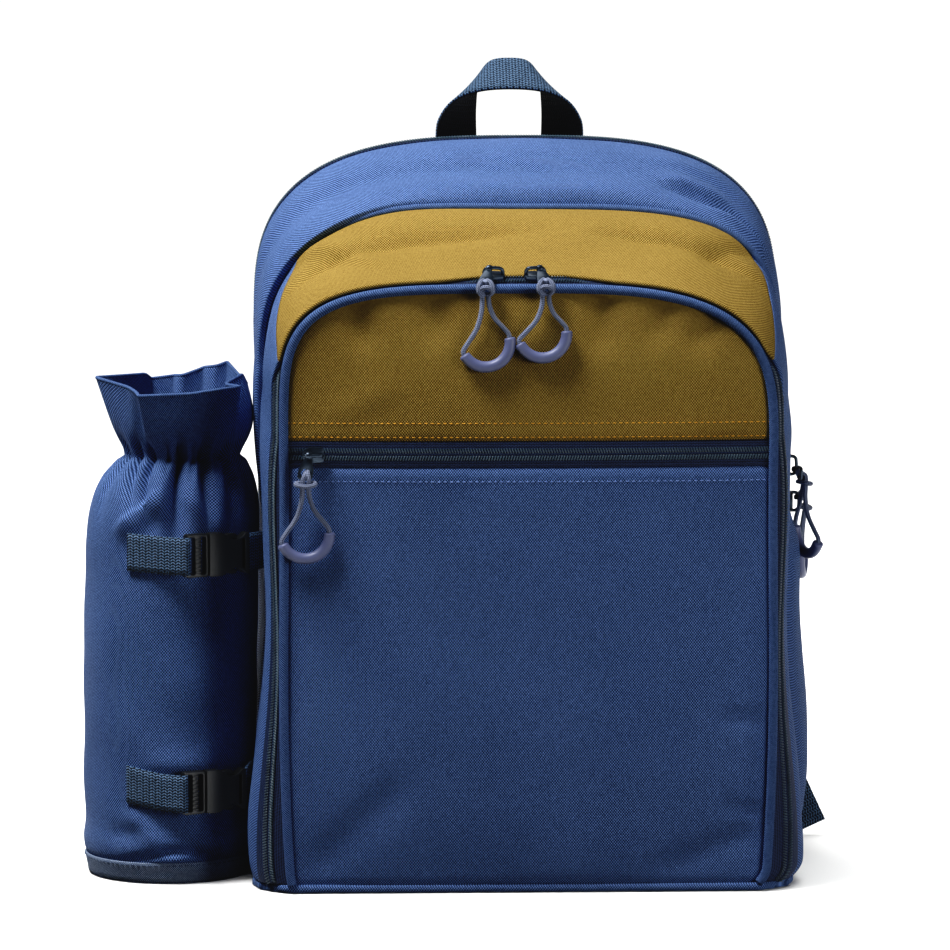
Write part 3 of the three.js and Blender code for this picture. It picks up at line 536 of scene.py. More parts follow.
# %% Cords, grips and knots
def add_pull_cord(pull):
    name = pull["name"]
    route = pull_route(pull)
    line = smooth_line(route, CORD_POINTS)
    cord = make_piece(f"cord_{name}", tube(line, CORD_RADIUS), CORD, [f"pull_cord_{name}"])

    per_point = (len(line) - 1) / (len(route) - 1)
    first, last = (round(GRIP[end] * per_point) for end in ("from", "to"))
    grip_line = even_line(line[first:last + 1], GRIP["step"])
    bore = CORD_RADIUS + GRIP["clear"]
    radii = np.full(len(grip_line), GRIP["radius"])
    radii[[0, -1]] = bore + (GRIP["radius"] - bore) * GRIP["end"]
    grip = make_piece(f"grip_{name}", tube(grip_line, radii, 16), VINYL, [f"pull_grip_{name}"])

    axes = loop_frame(pull)
    strands = EAR_KNOT if pull["clear"] < 0 else WRAP_KNOT
    curves = [smooth_line([axes @ Vector(point) for point in strand], STRAND_POINTS) for strand in strands]
    tied = joined([tube(curve, CORD_RADIUS) for curve in curves])
    knot = make_piece(f"knot_{name}", tied, CORD)


for pull in PULLS:
    add_pull_cord(pull)

# %% [markdown]
# ## Small hardware
# Sliders and tabs are cast in zinc and buckles are moulded in acetal. All of them start as flat outlines:
# an outline is filled, pushed up to a thickness, and its edges are rounded, as a die or a mould leaves them.
# Boolean cuts would also give the windows, but an outline with holes keeps the mesh small and clean.


# %% Plates from outlines
def plate(outlines, thickness, rounding=0.0, segments=2):
    """A flat plate in millimetres on the XY plane: the first outline is its edge and the others are holes."""
    made = bmesh.new()
    for outline in outlines:
        corners = [made.verts.new((x, y, 0)) for x, y in outline]
        for first, second in zip(corners, corners[1:] + corners[:1]):
            made.edges.new((first, second))
    bmesh.ops.triangle_fill(made, use_beauty=True, use_dissolve=False, edges=made.edges)
    bmesh.ops.recalc_face_normals(made, faces=made.faces)
    raised = bmesh.ops.extrude_face_region(made, geom=made.faces[:])
    lifted = [item for item in raised["geom"] if isinstance(item, bmesh.types.BMVert)]
    bmesh.ops.translate(made, verts=lifted, vec=(0, 0, thickness))
    bmesh.ops.recalc_face_normals(made, faces=made.faces)
    if rounding:
        edges = [edge for edge in made.edges if len(edge.link_faces) == 2 and edge.calc_face_angle() > 0.6]
        bmesh.ops.bevel(made, geom=edges, offset=rounding, affect="EDGES", segments=segments, profile=0.5,
                        material=-1, clamp_overlap=True)
    layer = made.loops.layers.uv.new("UVMap")
    for face in made.faces:
        for loop in face.loops:
            loop[layer].uv = loop.vert.co.xy * MM
    return made


def placed(made, axes):
    """Moves a shape in millimetres to its place on the bag, in metres."""
    bmesh.ops.transform(made, matrix=Matrix.Scale(MM, 4) @ axes, verts=made.verts)
    return made


def round_outline(corners, radius, steps=4):
    """An outline with its corners rounded off."""
    corners = [Vector(corner) for corner in corners]
    line = []
    for before, corner, after in zip(corners[-1:] + corners[:-1], corners, corners[1:] + corners[:1]):
        reach = min(radius, (before - corner).length / 2.2, (after - corner).length / 2.2)
        start = corner + (before - corner).normalized() * reach
        end = corner + (after - corner).normalized() * reach
        for share in np.linspace(0, 1, steps):
            line.append(start.lerp(corner, share).lerp(corner.lerp(end, share), share))
    return [tuple(point) for point in line]


def ring_outline(radius, centre=(0, 0), sides=20):
    return [(centre[0] + radius * math.cos(a), centre[1] + radius * math.sin(a))
            for a in np.linspace(0, 2 * math.pi, sides, endpoint=False)]


# %% Sliders and tabs
GAP = 0.3  # between a slider and its zip, as between all neighbouring pieces
SLIDER = {"length": 11, "width": 8.5, "nose": 5, "height": 2.6, "bar": 5.6, "crown": 0.95}
SHIELD = {"cheek": -1, "taper": 0.6, "notch": 1.2, "notch_depth": 1.6, "corner": 1.4, "rounding": 0.7}
TAB = {"width": 8, "thickness": 1.2, "eye": 1.5, "eye_wire": 0.7, "eye_length": 3, "hole": 2.4, "lip": 1.4,
       "neck": 1.2, "waist": 0.75, "waist_drop": 0.45, "corner": 2.2, "rounding": 0.35}
CROWN = [(-5.0, 1.4), (-4.9, 4.2), (-3.9, 5.7), (-2, 6.1), (0, 6.2), (2, 6.1), (3.9, 5.7), (4.9, 4.2),
         (5.0, 1.4)]


def add_slider(pull):
    name = pull["name"]
    run, out = Vector(pull["run"]), Vector(pull["out"]).normalized()
    seat = Vector(pull["zip"]) + out * GAP
    on_zip = axes_at(seat, run, out.cross(run), out)
    half_long, half_wide = SLIDER["length"] / 2, SLIDER["width"] / 2
    side_edge = [(-half_long, -SLIDER["nose"] / 2), (SHIELD["cheek"], -half_wide),
                 (half_long, -half_wide + SHIELD["taper"]), (half_long, -SHIELD["notch"])]
    notch = (half_long - SHIELD["notch_depth"], 0)
    shield = [*side_edge, notch, *[(x, -y) for x, y in side_edge[::-1]]]
    body = plate([round_outline(shield, SHIELD["corner"])], SLIDER["height"], SHIELD["rounding"])
    crown = tube(smooth_line([(x, 0, z) for x, z in CROWN], 41), SLIDER["crown"])
    bmesh.ops.scale(crown, vec=(1 / MM,) * 3, verts=crown.verts)
    cast = placed(joined([body, crown]), on_zip)
    make_piece(f"slider_{name}", cast, ZINC, [f"zip_slider_{name}"], sharp=40)

    bar = seat + out * SLIDER["bar"] + run * pull["bar_shift"]
    hang = Vector(pull["hole"]) - bar
    up = -hang.normalized()
    side = (run - up * run.dot(up)).normalized()
    on_bar = axes_at(bar, side, up, side.cross(up))
    reach, half = hang.length, TAB["width"] / 2
    right_edge = [(TAB["eye_length"] / 2, -TAB["neck"]), (half * TAB["waist"], -reach * TAB["waist_drop"]),
                  (half, -reach + TAB["hole"]), (half, -reach - TAB["hole"] - TAB["lip"])]
    blade_edge = right_edge + [(-x, y) for x, y in right_edge[::-1]]
    hole = ring_outline(TAB["hole"], (0, -reach))
    blade = plate([round_outline(blade_edge, TAB["corner"]), hole], TAB["thickness"], TAB["rounding"])
    bmesh.ops.translate(blade, vec=(0, 0, -TAB["thickness"] / 2), verts=blade.verts)
    turn = np.linspace(0, 2 * math.pi, 25)
    eye_line = np.column_stack([0 * turn, TAB["eye"] * np.cos(turn), TAB["eye"] * np.sin(turn)])
    eyelet = bend_grid(tube_rows(eye_line, TAB["eye_wire"], 8), around=True)
    widened = TAB["eye_length"] / (2 * TAB["eye_wire"])
    bmesh.ops.scale(eyelet, vec=(widened / MM, 1 / MM, 1 / MM), verts=eyelet.verts)
    cast = placed(joined([blade, eyelet]), on_bar)
    make_piece(f"tab_{name}", cast, ZINC, [f"zip_tab_{name}"], sharp=40)


for pull in PULLS:
    add_slider(pull)

# %% [markdown]
# ## The bag's cloth
# A backpack is a row of arches: each seam runs up one side, over the top and down the other, and cloth spans
# from arch to arch. The same arches as in the CAD model are drawn here with many more points, so that the
# cloth between them can carry folds. A sewn edge rolls inwards, which hides its raw side.

# %% Arches
BASE = 4.3
SIDE_STEPS, TOP_STEPS = 100, 200
CROWDING = 1.25  # above 1, the points of a side lie closer together near the floor
LEVELS = (0, 0.15, 0.35, 0.6, 1)
SWELL = (0.3, 1, 0.95, 0.5, -0.25)
OUTLINE_COLUMNS = ("y", "half", "swell", "shoulder", "top", "round", "round_right")
OUTLINES = {name: dict(zip(OUTLINE_COLUMNS, row)) for name, row in {
    "back_seam": (82, (139, 141, 141, 140, 140), 7, 286, 385, 2.9, 2.9),
    "zip_rear": (55, (144, 146, 144.5, 142.5, 144), 12, 297, 394.5, 2.95, 3.05),
    "zip_front": (47, (144.5, 146.5, 145, 142.5, 144.5), 13, 297, 394, 2.95, 3.05),
    "crown": (25, (146, 148, 145, 142, 145), 10.5, 294, 387, 2.75, 2.7),
    "slope": (4, (144, 146, 142, 140, 142), 8.5, 286, 372, 2.85, 2.85),
    "main_seam": (-10, (140, 142, 138, 136, 137.5), 5, 275, 359, 2.8, 3.6),
    "front_rear": (-30, (146, 147, 141.5, 138.5, 139.5), 0, 266, 352.5, 3, 3.4),
    "front_middle": (-58, (147.5, 147.5, 142, 138.5, 138.5), 0, 252, 337, 3.6, 3.3),
    "front_zip_rear": (-72, (143.5, 143.5, 139, 136, 135.5), 0, 245, 327.5, 4, 3.2),
    "front_zip_edge": (-82.4, (132, 133.5, 132.3, 131.6, 131.3), 0, 239, 323.3, 4.3, 3.2),
    "front_seam": (-85, (126, 128, 129.3, 129.3, 129), 0, 238, 320.5, 4.3, 3.2),
}.items()}
# The seams near the pocket are pulled up at the left, most at one place
LEFT_LIFT = {"x": -80, "wide": 40, "slope": 1.2, "main_seam": 3.4, "front_rear": 1.6}
# Near the floor the sides turn in under the bag: from this height, by these shares of the width
FOOT = {"from": 13.0, "left": 0.006, "right": 0.03}


def side_width(outline, height, side):
    """Half the width at heights given as shares of the way to the shoulder."""
    half = np.polyval(np.polyfit(LEVELS, outline["half"], 4), height)
    swell = np.polyval(np.polyfit(LEVELS, SWELL, 4), height)
    return half + (outline["swell"] * swell if side > 0 else 0)


def tucked(points):
    """Points with those near the floor drawn in under the bag."""
    share = np.clip((FOOT["from"] - points[..., 2]) / (FOOT["from"] - BASE), 0, 1) ** 2
    drawn = np.where(points[..., 0] < 0, FOOT["left"], FOOT["right"]) * share
    return np.stack([points[..., 0] * (1 - drawn), points[..., 1], points[..., 2]], axis=-1)


def arch(name, shift=0.0):
    """An outline as a line of points, from the left foot over the top to the right foot."""
    outline = OUTLINES[name]
    height = np.linspace(0, 1, SIDE_STEPS + 1) ** CROWDING
    rise = BASE + height * (outline["shoulder"] - BASE)
    left = np.column_stack([-side_width(outline, height, -1), rise])
    right = np.column_stack([side_width(outline, height, 1), rise])
    angle = np.radians(np.linspace(180, 0, TOP_STEPS + 1))
    half = np.where(angle > np.pi / 2, side_width(outline, 1.0, -1), side_width(outline, 1.0, 1))
    power = np.where(angle > np.pi / 2, outline["round"], outline["round_right"])
    up = np.abs(np.sin(angle) / (outline["top"] - outline["shoulder"])) ** power
    reach = (np.abs(np.cos(angle) / half) ** power + up) ** (-1 / power)
    over = np.column_stack([reach * np.cos(angle), outline["shoulder"] + reach * np.sin(angle)])
    over[:, 1] += LEFT_LIFT.get(name, 0) * np.exp(-((over[:, 0] - LEFT_LIFT["x"]) / LEFT_LIFT["wide"]) ** 2)
    line = np.vstack([left[:-1], over, right[::-1][1:]])
    return tucked(np.column_stack([line[:, 0], np.full(len(line), outline["y"] + shift), line[:, 1]]))


def eased(count):
    """Shares from 0 to 1 that lie closer together near both ends."""
    return 0.5 - 0.5 * np.cos(np.pi * np.linspace(0, 1, count))


def span(lines, count):
    """Rows of points that pass smoothly from line to line, closer together at the first and last."""
    lines = np.asarray(lines)
    knots = np.concatenate([[0], np.cumsum(np.linalg.norm(np.diff(lines, axis=0), axis=2).mean(axis=1))])
    places = knots[-1] * eased(count)
    rows = 0
    for i, line in enumerate(lines):
        others = [(places - knot) / (knots[i] - knot) for j, knot in enumerate(knots) if j != i]
        rows = rows + np.prod(others, axis=0)[:, None, None] * line
    return rows


# %% Folds and rolled edges
BAG_MIDDLE = (0, 0, 150)
FOLD_FADE = 0.35  # share of a fold's length in which it fades at each end
CALM_EDGE = 8.0  # width beside a seam in which the cloth lies evener
FOLD_COLUMNS = ("from", "to", "height", "wide", "power")


def fold_table(rows):
    """Folds with named columns. A fold's power may be left out."""
    return [dict(zip(FOLD_COLUMNS, row)) for row in rows]


def outward(rows, inside):
    normals = unit(np.cross(np.gradient(rows, axis=1), np.gradient(rows, axis=0)))
    facing = np.sum(normals * (rows - np.asarray(inside)))
    return normals * np.sign(facing)


def fold_heights(along, across, folds):
    """Ridges and valleys on the cloth. Each runs from one place to another and fades at both ends.

    The lower a fold's power, the sharper its crease.
    """
    heights = np.zeros(along.shape)
    for fold in folds:
        start, end = np.array(fold["from"], float), np.array(fold["to"], float)
        length = np.linalg.norm(end - start)
        way = (end - start) / length
        share = ((along - start[0]) * way[0] + (across - start[1]) * way[1]) / length
        off = (across - start[1]) * way[0] - (along - start[0]) * way[1]
        width = np.where(off > 0, fold["wide"][0], fold["wide"][-1])
        ends = np.clip(np.minimum(share, 1 - share) / FOLD_FADE, 0, 1)
        profile = np.exp(-np.abs(off / width) ** fold.get("power", 2))
        heights += fold["height"] * profile * ends ** 2 * (3 - 2 * ends)
    return heights


def uneven_heights(rows, size, seed):
    """Slow unevenness of stitched cloth, the same at each run."""
    shift = Vector((seed, 0, 0))
    return np.array([[noise.noise(Vector(point) / size + shift) for point in row] for row in rows])


def roll_depths(distances, reach):
    """How deep a sewn edge rolls in, at distances from it: all of it at the edge, none further than reach."""
    return np.clip(1 - distances / reach, 0, 1) ** 2


def shaped(rows, inside, folds=(), uneven=0.5, size=38.0, seed=0.0, roll=(1.4, 1.4), reach=4.0, ends=0.0):
    """Cloth with its folds and unevenness, rolled in at its first and last rows, and at its ends if asked."""
    along, across = cloth_lengths(rows)
    heights = fold_heights(along, across, folds)
    heights -= ends * (roll_depths(along - along[:, :1], reach) + roll_depths(along[:, -1:] - along, reach))
    heights -= roll[0] * roll_depths(across, reach) + roll[1] * roll_depths(across[-1] - across, reach)
    edge = np.clip(np.minimum(across, across[-1] - across) / CALM_EDGE, 0, 1)
    if uneven:
        heights += uneven * uneven_heights(rows, size, seed) * edge
    return rows + heights[..., None] * outward(rows, inside)


def add_cloth(name, rows, material, nodes, inside, wall, around=False, flat=None):
    """A cut piece of cloth in its sewn place, on a grid through its rows, with its wall.
    """
    piece = make_piece(name, bend_grid(rows, inside, around, flat=flat), material, nodes, wall=wall)
    return piece


# %% Gussets and piping
WALL = 2.2
# Folds on the cloth from a place to a place: along from the top's middle, and forward from the rear edge.
# The two widths are those of a fold's front side and its rear side.
MAIN_FOLDS = fold_table([
    ((-330, 59), (-20, 65), 6.5, (3.2, 15)),
    ((-90, 57), (130, 57), 3.6, (8, 14)),
    ((-215, 26), (70, 46), -2.2, (11, 8)),
    ((64, 46), (152, 37), -4.4, (5, 4)),
    ((96, 51), (152, 44), 3.2, (4, 4)),
    ((70, 38), (122, 33), 3.0, (3, 6)),
    ((60, 22), (130, 12), 1.4, (6, 8)),
    ((250, -8), (250, 60), 1.5, (16, 14)),
    ((283, -10), (283, 70), -4.2, (8, 10)),
    ((322, -8), (322, 70), 4.6, (16, 40)),
])
# The roll at the left leans over its seam and shades it
MAIN_LEAN = fold_table([((-360, 58), (0, 60), 5.5, (5, 8))])
TOP_FOLDS = fold_table([
    ((-136, -4), (-70, 62), 3.2, (5, 10)),
    ((-150, 44), (24, 27), -5.4, (15, 8), 1.25),
    ((24, 31), (150, 33), -4.8, (14, 6), 1.25),
    ((88, 46), (142, -6), -3.2, (9, 6), 1.4),
])
# Points of an arch from the shoulder to the seam between blue and mustard, at the rear and the front edge
COLOUR_SEAM = {"rear": 28.5, "front": 20.5}
# The front gusset hangs over its zip: points of the arch, and the share of the zip that is covered there
COVER = [(0, 0), (107, 0.02), (116, 0.6), (121, 1), (166, 1), (177, 0.72), (186, 0.5), (214, 0.5),
         (222, 0.72), (232, 1), (277, 1), (283, 0.6), (293, 0.02), (400, 0)]
COVERED = np.interp(np.arange(SIDE_STEPS * 2 + TOP_STEPS + 1), *np.transpose(COVER))[:, None]
COVER_LIFT = 3.0  # how high it hangs over the tape

rear_flat = span([arch("back_seam", -GAP), arch("zip_rear")], 16)
rear_rows = shaped(rear_flat, BAG_MIDDLE, uneven=0.8, seed=3)
add_cloth("rear_gusset_cloth", rear_rows, BLUE, ["rear_gusset"], BAG_MIDDLE, WALL)
main_lines = [arch("zip_front"), arch("crown"), arch("slope"), arch("main_seam", 0.6)]
main_flat = span(main_lines, 60)
main_rows = shaped(main_flat, BAG_MIDDLE, MAIN_FOLDS, 1.2, seed=7, roll=(1.2, 2.6), reach=5)
lean = fold_heights(*cloth_lengths(main_flat), MAIN_LEAN)
main_rows = main_rows + lean[..., None] * unit(np.gradient(main_flat, axis=0))
add_cloth("main_gusset_cloth", main_rows, BLUE, ["main_gusset"], BAG_MIDDLE, WALL)


def covering_edge():
    """The front gusset's free edge, which hangs over part of the zip."""
    rear_line, edge_line = arch("front_zip_rear"), arch("front_zip_edge")
    up = unit(np.cross(np.gradient(rear_line, axis=0), edge_line - rear_line))
    up *= np.sign(up[len(up) // 2, 2])
    return rear_line + (edge_line - rear_line) * COVERED + up * COVER_LIFT * np.clip(COVERED * 2, 0, 1)


def cut_out(rows, first, last, count):
    """Part of a grid of rows between two places of each row, counted in points."""
    places = first[:, None] + (last - first)[:, None] * np.linspace(0, 1, count)
    low = np.minimum(places.astype(int), rows.shape[1] - 2)
    share = (places - low)[..., None]
    row = np.arange(len(rows))[:, None]
    return rows[row, low] * (1 - share) + rows[row, low + 1] * share


front_lines = [arch("main_seam", -0.6), arch("front_rear"), arch("front_middle"), covering_edge()]
front_flat = span(front_lines, 60)
front_rows = shaped(front_flat, BAG_MIDDLE, TOP_FOLDS, 0.9, seed=11, roll=(1.6, 0.3), reach=5)
# The free edge is turned under: how far forward and how far down each row of the turn lies
EDGE_TURN = [(0.8, 0.35), (1.1, 1.1), (0.7, 1.9), (-0.6, 2.3)]
edge_up, edge_on = outward(front_rows, BAG_MIDDLE)[-1], unit(front_rows[-1] - front_rows[-3])
turn_rows = [front_rows[-1] + edge_on * forward - edge_up * down for forward, down in EDGE_TURN]
depth_share = (front_flat[:, 0, 1] - front_flat[0, 0, 1]) / (front_flat[-1, 0, 1] - front_flat[0, 0, 1])
depth_share = np.append(depth_share, np.ones(len(turn_rows)))
front_rows = np.concatenate([front_rows, turn_rows])
seam = SIDE_STEPS + COLOUR_SEAM["rear"] + (COLOUR_SEAM["front"] - COLOUR_SEAM["rear"]) * depth_share
last = np.full(len(seam), SIDE_STEPS * 2.0 + TOP_STEPS)
for side, start, end, count, finish in [
        ("left", 0 * seam, seam, 131, BLUE),
        ("top", seam, last - seam, 181, MUSTARD),
        ("right", last - seam, last, 131, BLUE)]:
    rows = cut_out(front_rows, start, end, count)
    add_cloth(f"front_gusset_{side}_cloth", rows, finish, [f"front_gusset_{side}"], BAG_MIDDLE, WALL)

for name, line, radius in [("main", arch("main_seam"), 2.0), ("front", arch("front_seam"), 2.5)]:
    make_piece(f"{name}_piping_cord", tube(line, radius, 14), PIPING, [f"{name}_piping"])

# %% [markdown]
# ## Zips
# A coil zip is a woven tape with a nylon wire sewn along each edge. The two wires are bent into loops that
# lock together, so from outside the chain is two rows of slanting bars. One bar is a small bevelled box,
# copied along the seam from an array of places, because thousands of separate objects would be slow.


# %% Small things repeated along a line
def scatter(template, frames):
    """One bmesh with a copy of the template, in millimetres, at each frame of four by four numbers."""
    template.verts.index_update()
    corners = np.array([(*vert.co, 1) for vert in template.verts])
    faces = np.array([[vert.index for vert in face.verts] for face in template.faces])
    places = np.einsum("fij,vj->fvi", frames, corners)[..., :3] * MM
    shifts = np.arange(len(frames))[:, None, None] * len(corners)
    data = bpy.data.meshes.new("copies")
    data.from_pydata(places.reshape(-1, 3), [], (faces[None] + shifts).reshape(-1, faces.shape[1]))
    template.free()
    made = bmesh.new()
    made.from_mesh(data)
    bpy.data.meshes.remove(data)
    return made


def line_frames(line, out, pitch, shift=0.0, turn=0.0, aside=0.0):
    """Frames a pitch apart along a line: x runs along it and z points out of the cloth."""
    both = np.hstack([line, out])
    lengths = line_lengths(line)
    places = np.arange(pitch / 2 + shift * pitch, lengths[-1], pitch)
    spread = np.column_stack([np.interp(places, lengths, both[:, i]) for i in range(6)])
    centre, up = spread[:, :3], unit(spread[:, 3:])
    way = unit(np.gradient(centre, axis=0))
    across = unit(np.cross(up, way))
    up = np.cross(way, across)
    frames = np.zeros((len(places), 4, 4))
    frames[:, :3, 0] = way * math.cos(turn) + across * math.sin(turn)
    frames[:, :3, 1] = across * math.cos(turn) - way * math.sin(turn)
    frames[:, :3, 2] = up
    frames[:, :3, 3] = centre + across * aside
    frames[:, 3, 3] = 1
    return frames


CHAIN = {"pitch": 1.45, "bar": (0.66, 2.9, 1.1), "rounding": 0.3, "aside": 1.9, "turn": 0.35, "lift": 0.25}
TAPE_WALL = 1.2


def bar_template(size, rounding):
    bar = bmesh.new()
    bmesh.ops.create_cube(bar, size=1)
    bmesh.ops.scale(bar, vec=size, verts=bar.verts)
    bmesh.ops.bevel(bar, geom=bar.edges[:], offset=rounding, affect="EDGES", segments=1, profile=0.5,
                    material=-1)
    bmesh.ops.triangulate(bar, faces=bar.faces[:])
    return bar


def add_chain(name, line, out):
    line = line + out * CHAIN["lift"]
    frames = np.vstack([
        line_frames(line, out, CHAIN["pitch"], 0.0, CHAIN["turn"], CHAIN["aside"]),
        line_frames(line, out, CHAIN["pitch"], 0.5, -CHAIN["turn"], -CHAIN["aside"])])
    bars = scatter(bar_template(CHAIN["bar"], CHAIN["rounding"]), frames)
    make_piece(f"{name}_coil", bars, COIL, sharp=50)


STITCH = {"long": 2.3, "pitch": 3.3, "thick": 0.8}


def add_stitches(name, line, out, thread):
    """A row of stitches: short rounded pieces of thread, half sunk into the cloth."""
    stitch = bmesh.new()
    bmesh.ops.create_icosphere(stitch, subdivisions=1, radius=0.5)
    bmesh.ops.scale(stitch, vec=(STITCH["long"], STITCH["thick"], STITCH["thick"]), verts=stitch.verts)
    frames = line_frames(np.asarray(line, float), np.asarray(out, float), STITCH["pitch"])
    make_piece(f"{name}_stitches", scatter(stitch, frames), THREADS[thread])


# %% Zips over the bag
# Where the cloth hangs over the front zip it presses the chain down, by up to this much
PRESSED = 2.4 * np.clip(COVERED * 3 - 1.8, 0, 1)
main_zip = [arch("zip_rear", -GAP), arch("zip_front", GAP)]
front_zip = [arch("front_zip_rear", -GAP), arch("front_zip_edge"), arch("front_seam", 0.4)]
for name, lines, pressed in [("main_zip", main_zip, 0), ("front_zip", front_zip, PRESSED)]:
    tape_rows = span(lines, 9)
    make_piece(f"{name}_tape", bend_grid(tape_rows, BAG_MIDDLE), TAPE, [name], wall=TAPE_WALL)
    middle_out = outward(tape_rows, BAG_MIDDLE)[4]
    add_chain(name, tape_rows[4] - middle_out * pressed, middle_out)


# %% [markdown]
# ## Front panels
# The front is two panels with a pocket zip between them, mustard above and blue below. Full of picnic things
# it bulges a little, most in the middle. Each panel's edge at the zip is folded under and stitched down.

# %% Panels
POCKET_ZIP = {"low": 227, "high": 240.5, "behind": 1.0}
FRONT_SWELL = {"depth": 7, "upright": 4, "across": 2.5}
PANEL_INSET = 0.9  # the panel's edge is sewn into the piping
PANEL_INSIDE = (0, 60, 150)


def panel_width(outline, z, inset, side):
    """Half the width of a flat panel at some heights, on one side."""
    power = outline["round_right"] if side > 0 else outline["round"]
    below = np.clip((z - BASE) / (outline["shoulder"] - BASE), 0, 1)
    up = np.clip((z - outline["shoulder"]) / (outline["top"] - inset - outline["shoulder"]), 0, 1)
    return (side_width(outline, below, side) - inset) * (1 - up ** power) ** (1 / power)


def panel_rows(name, low, high, count, columns, inset, bulge):
    """Rows of a panel between two heights; the bulge is how far it stands out at its middle."""
    outline = OUTLINES[name]
    z = low + (high - low) * eased(count)
    u = 2 * eased(columns) - 1
    middle = (outline["top"] - inset) / 2
    upright = 1 - np.abs(z / middle - 1) ** FRONT_SWELL["upright"]
    swell = bulge * upright[:, None] * (1 - np.abs(u) ** FRONT_SWELL["across"])
    left, right = (panel_width(outline, z, inset, side)[:, None] for side in (-1, 1))
    x = np.where(u < 0, left, right) * u
    return tucked(np.stack([x, outline["y"] + swell, np.broadcast_to(z[:, None], x.shape)], axis=2))


def front_panel(low, high, count, columns=161):
    return panel_rows("front_seam", low, high, count, columns, PANEL_INSET, -FRONT_SWELL["depth"])


PANEL_TOP = OUTLINES["front_seam"]["top"] - PANEL_INSET
LOWER_FOLDS = fold_table([
    ((-118, 20), (-112, 205), 0.9, (5, 7)),
    ((118, 10), (114, 150), 0.8, (6, 6)),
    ((60, 6), (132, 34), -1.6, (6, 8)),
    ((-128, -4), (-56, 66), -2.0, (8, 12)),
    ((98, 92), (130, 87), -1.6, (2.4, 3)),
    ((98, 44), (130, 38), -1.4, (2.4, 3)),
])
UPPER_FOLDS = fold_table([
    ((-98, 96), (-84, 42), -3.2, (8, 7)),
    ((-54, 98), (-46, 44), -2.6, (8, 8)),
    ((36, 100), (38, 38), -3.0, (8, 8)),
    ((72, 98), (66, 44), -2.6, (7, 7)),
    ((104, 92), (86, 40), -3.0, (7, 8)),
    ((-116, 8), (-60, 34), 0.8, (8, 8)),
])
panels = {}
for name, low, high, count, folds, finish in [
        ("lower", BASE, POCKET_ZIP["low"] - GAP, 70, LOWER_FOLDS, BLUE),
        ("upper", POCKET_ZIP["high"] + GAP, PANEL_TOP - GAP, 50, UPPER_FOLDS, MUSTARD)]:
    panels[name] = shaped(front_panel(low, high, count), PANEL_INSIDE, folds, 0.8, size=55, seed=19,
                          roll=(1.2, 1.6), reach=5, ends=1.8)
    add_cloth(f"front_{name}_cloth", panels[name], finish, [f"front_panel_{name}"], PANEL_INSIDE, WALL)

pocket_rows = front_panel(POCKET_ZIP["low"], POCKET_ZIP["high"], 7) + np.array((0, POCKET_ZIP["behind"], 0))
make_piece("pocket_zip_tape", bend_grid(pocket_rows, PANEL_INSIDE), TAPE, ["pocket_zip"], wall=TAPE_WALL)
add_chain("pocket_zip", pocket_rows[3], outward(pocket_rows, PANEL_INSIDE)[3])


def across_panel(rows, z, margin=2):
    """A line across a panel at a height, with the way out of the cloth."""
    normals = outward(rows, PANEL_INSIDE)
    row = np.argmin(np.abs(rows[:, rows.shape[1] // 2, 2] - z))
    return rows[row, margin:-margin], normals[row, margin:-margin]


for name, panel, z, thread in [
        ("mustard_low", "upper", 242.8, "mustard"),
        ("mustard_high", "upper", 249.6, "mustard"),
        ("blue", "lower", 219, "blue")]:
    add_stitches(name, *across_panel(panels[panel], z), thread)

# %% Base, divider and back
BASE_PLATE = {"below_cloth": 0.6, "rounding": 1.0}
# The base's rolled edge: how far out of the outline it stands, and its height. Behind the front it is set in.
BASE_ROLL = [(-3, 0.1), (0, 0.2), (0.8, 0.9), (1.0, 2.0), (0.9, 3.2), (0.3, 4.0), (-1, 4.4), (-3, 4.5)]
ROLL_INSET = {"by": 1.8, "front": -84, "over": 10, "step": 3.0}
DIVIDER = {"below_top": 4, "inset": 3.8, "wall": 1.6}
BACK = {"below_top": 0.5, "inset": 0.2, "bulge": 4, "behind": 4.6, "wall": 3.0}
BINDING = {"behind": 2.2, "radius": 2.6}

base_right = [(float(side_width(row, 0, 1)), row["y"]) for row in OUTLINES.values()]
base_left = [(-float(side_width(row, 0, -1)), row["y"]) for row in OUTLINES.values()]
base_edge = [(x * (1 - FOOT["right" if x > 0 else "left"]), y) for x, y in base_right + base_left[::-1]]
base = plate([base_edge], BASE - BASE_PLATE["below_cloth"], BASE_PLATE["rounding"])
make_piece("base_cloth", placed(base, Matrix()), BLUE, ["base_panel"], sharp=40)
edge = even_line(np.array([(x, y, 0) for x, y in base_edge + base_edge[:1]], float), ROLL_INSET["step"])[:-1]
edge_way = unit(np.roll(edge, -2, axis=0) - np.roll(edge, 2, axis=0))
edge_out = np.column_stack([-edge_way[:, 1], edge_way[:, 0], 0 * edge_way[:, 0]])
edge_out *= np.sign(np.sum(edge_out * edge))
inset = ROLL_INSET["by"] * ramp(edge[:, 1:2], ROLL_INSET["front"], ROLL_INSET["over"])
roll_rows = np.array([edge + edge_out * (out - inset) + (0, 0, z) for out, z in BASE_ROLL])
roll_rows = np.concatenate([roll_rows, roll_rows[:, :1]], axis=1)
make_piece("base_roll", bend_grid(roll_rows, (0, 0, 2), around=True), BLUE, ["base_panel"])

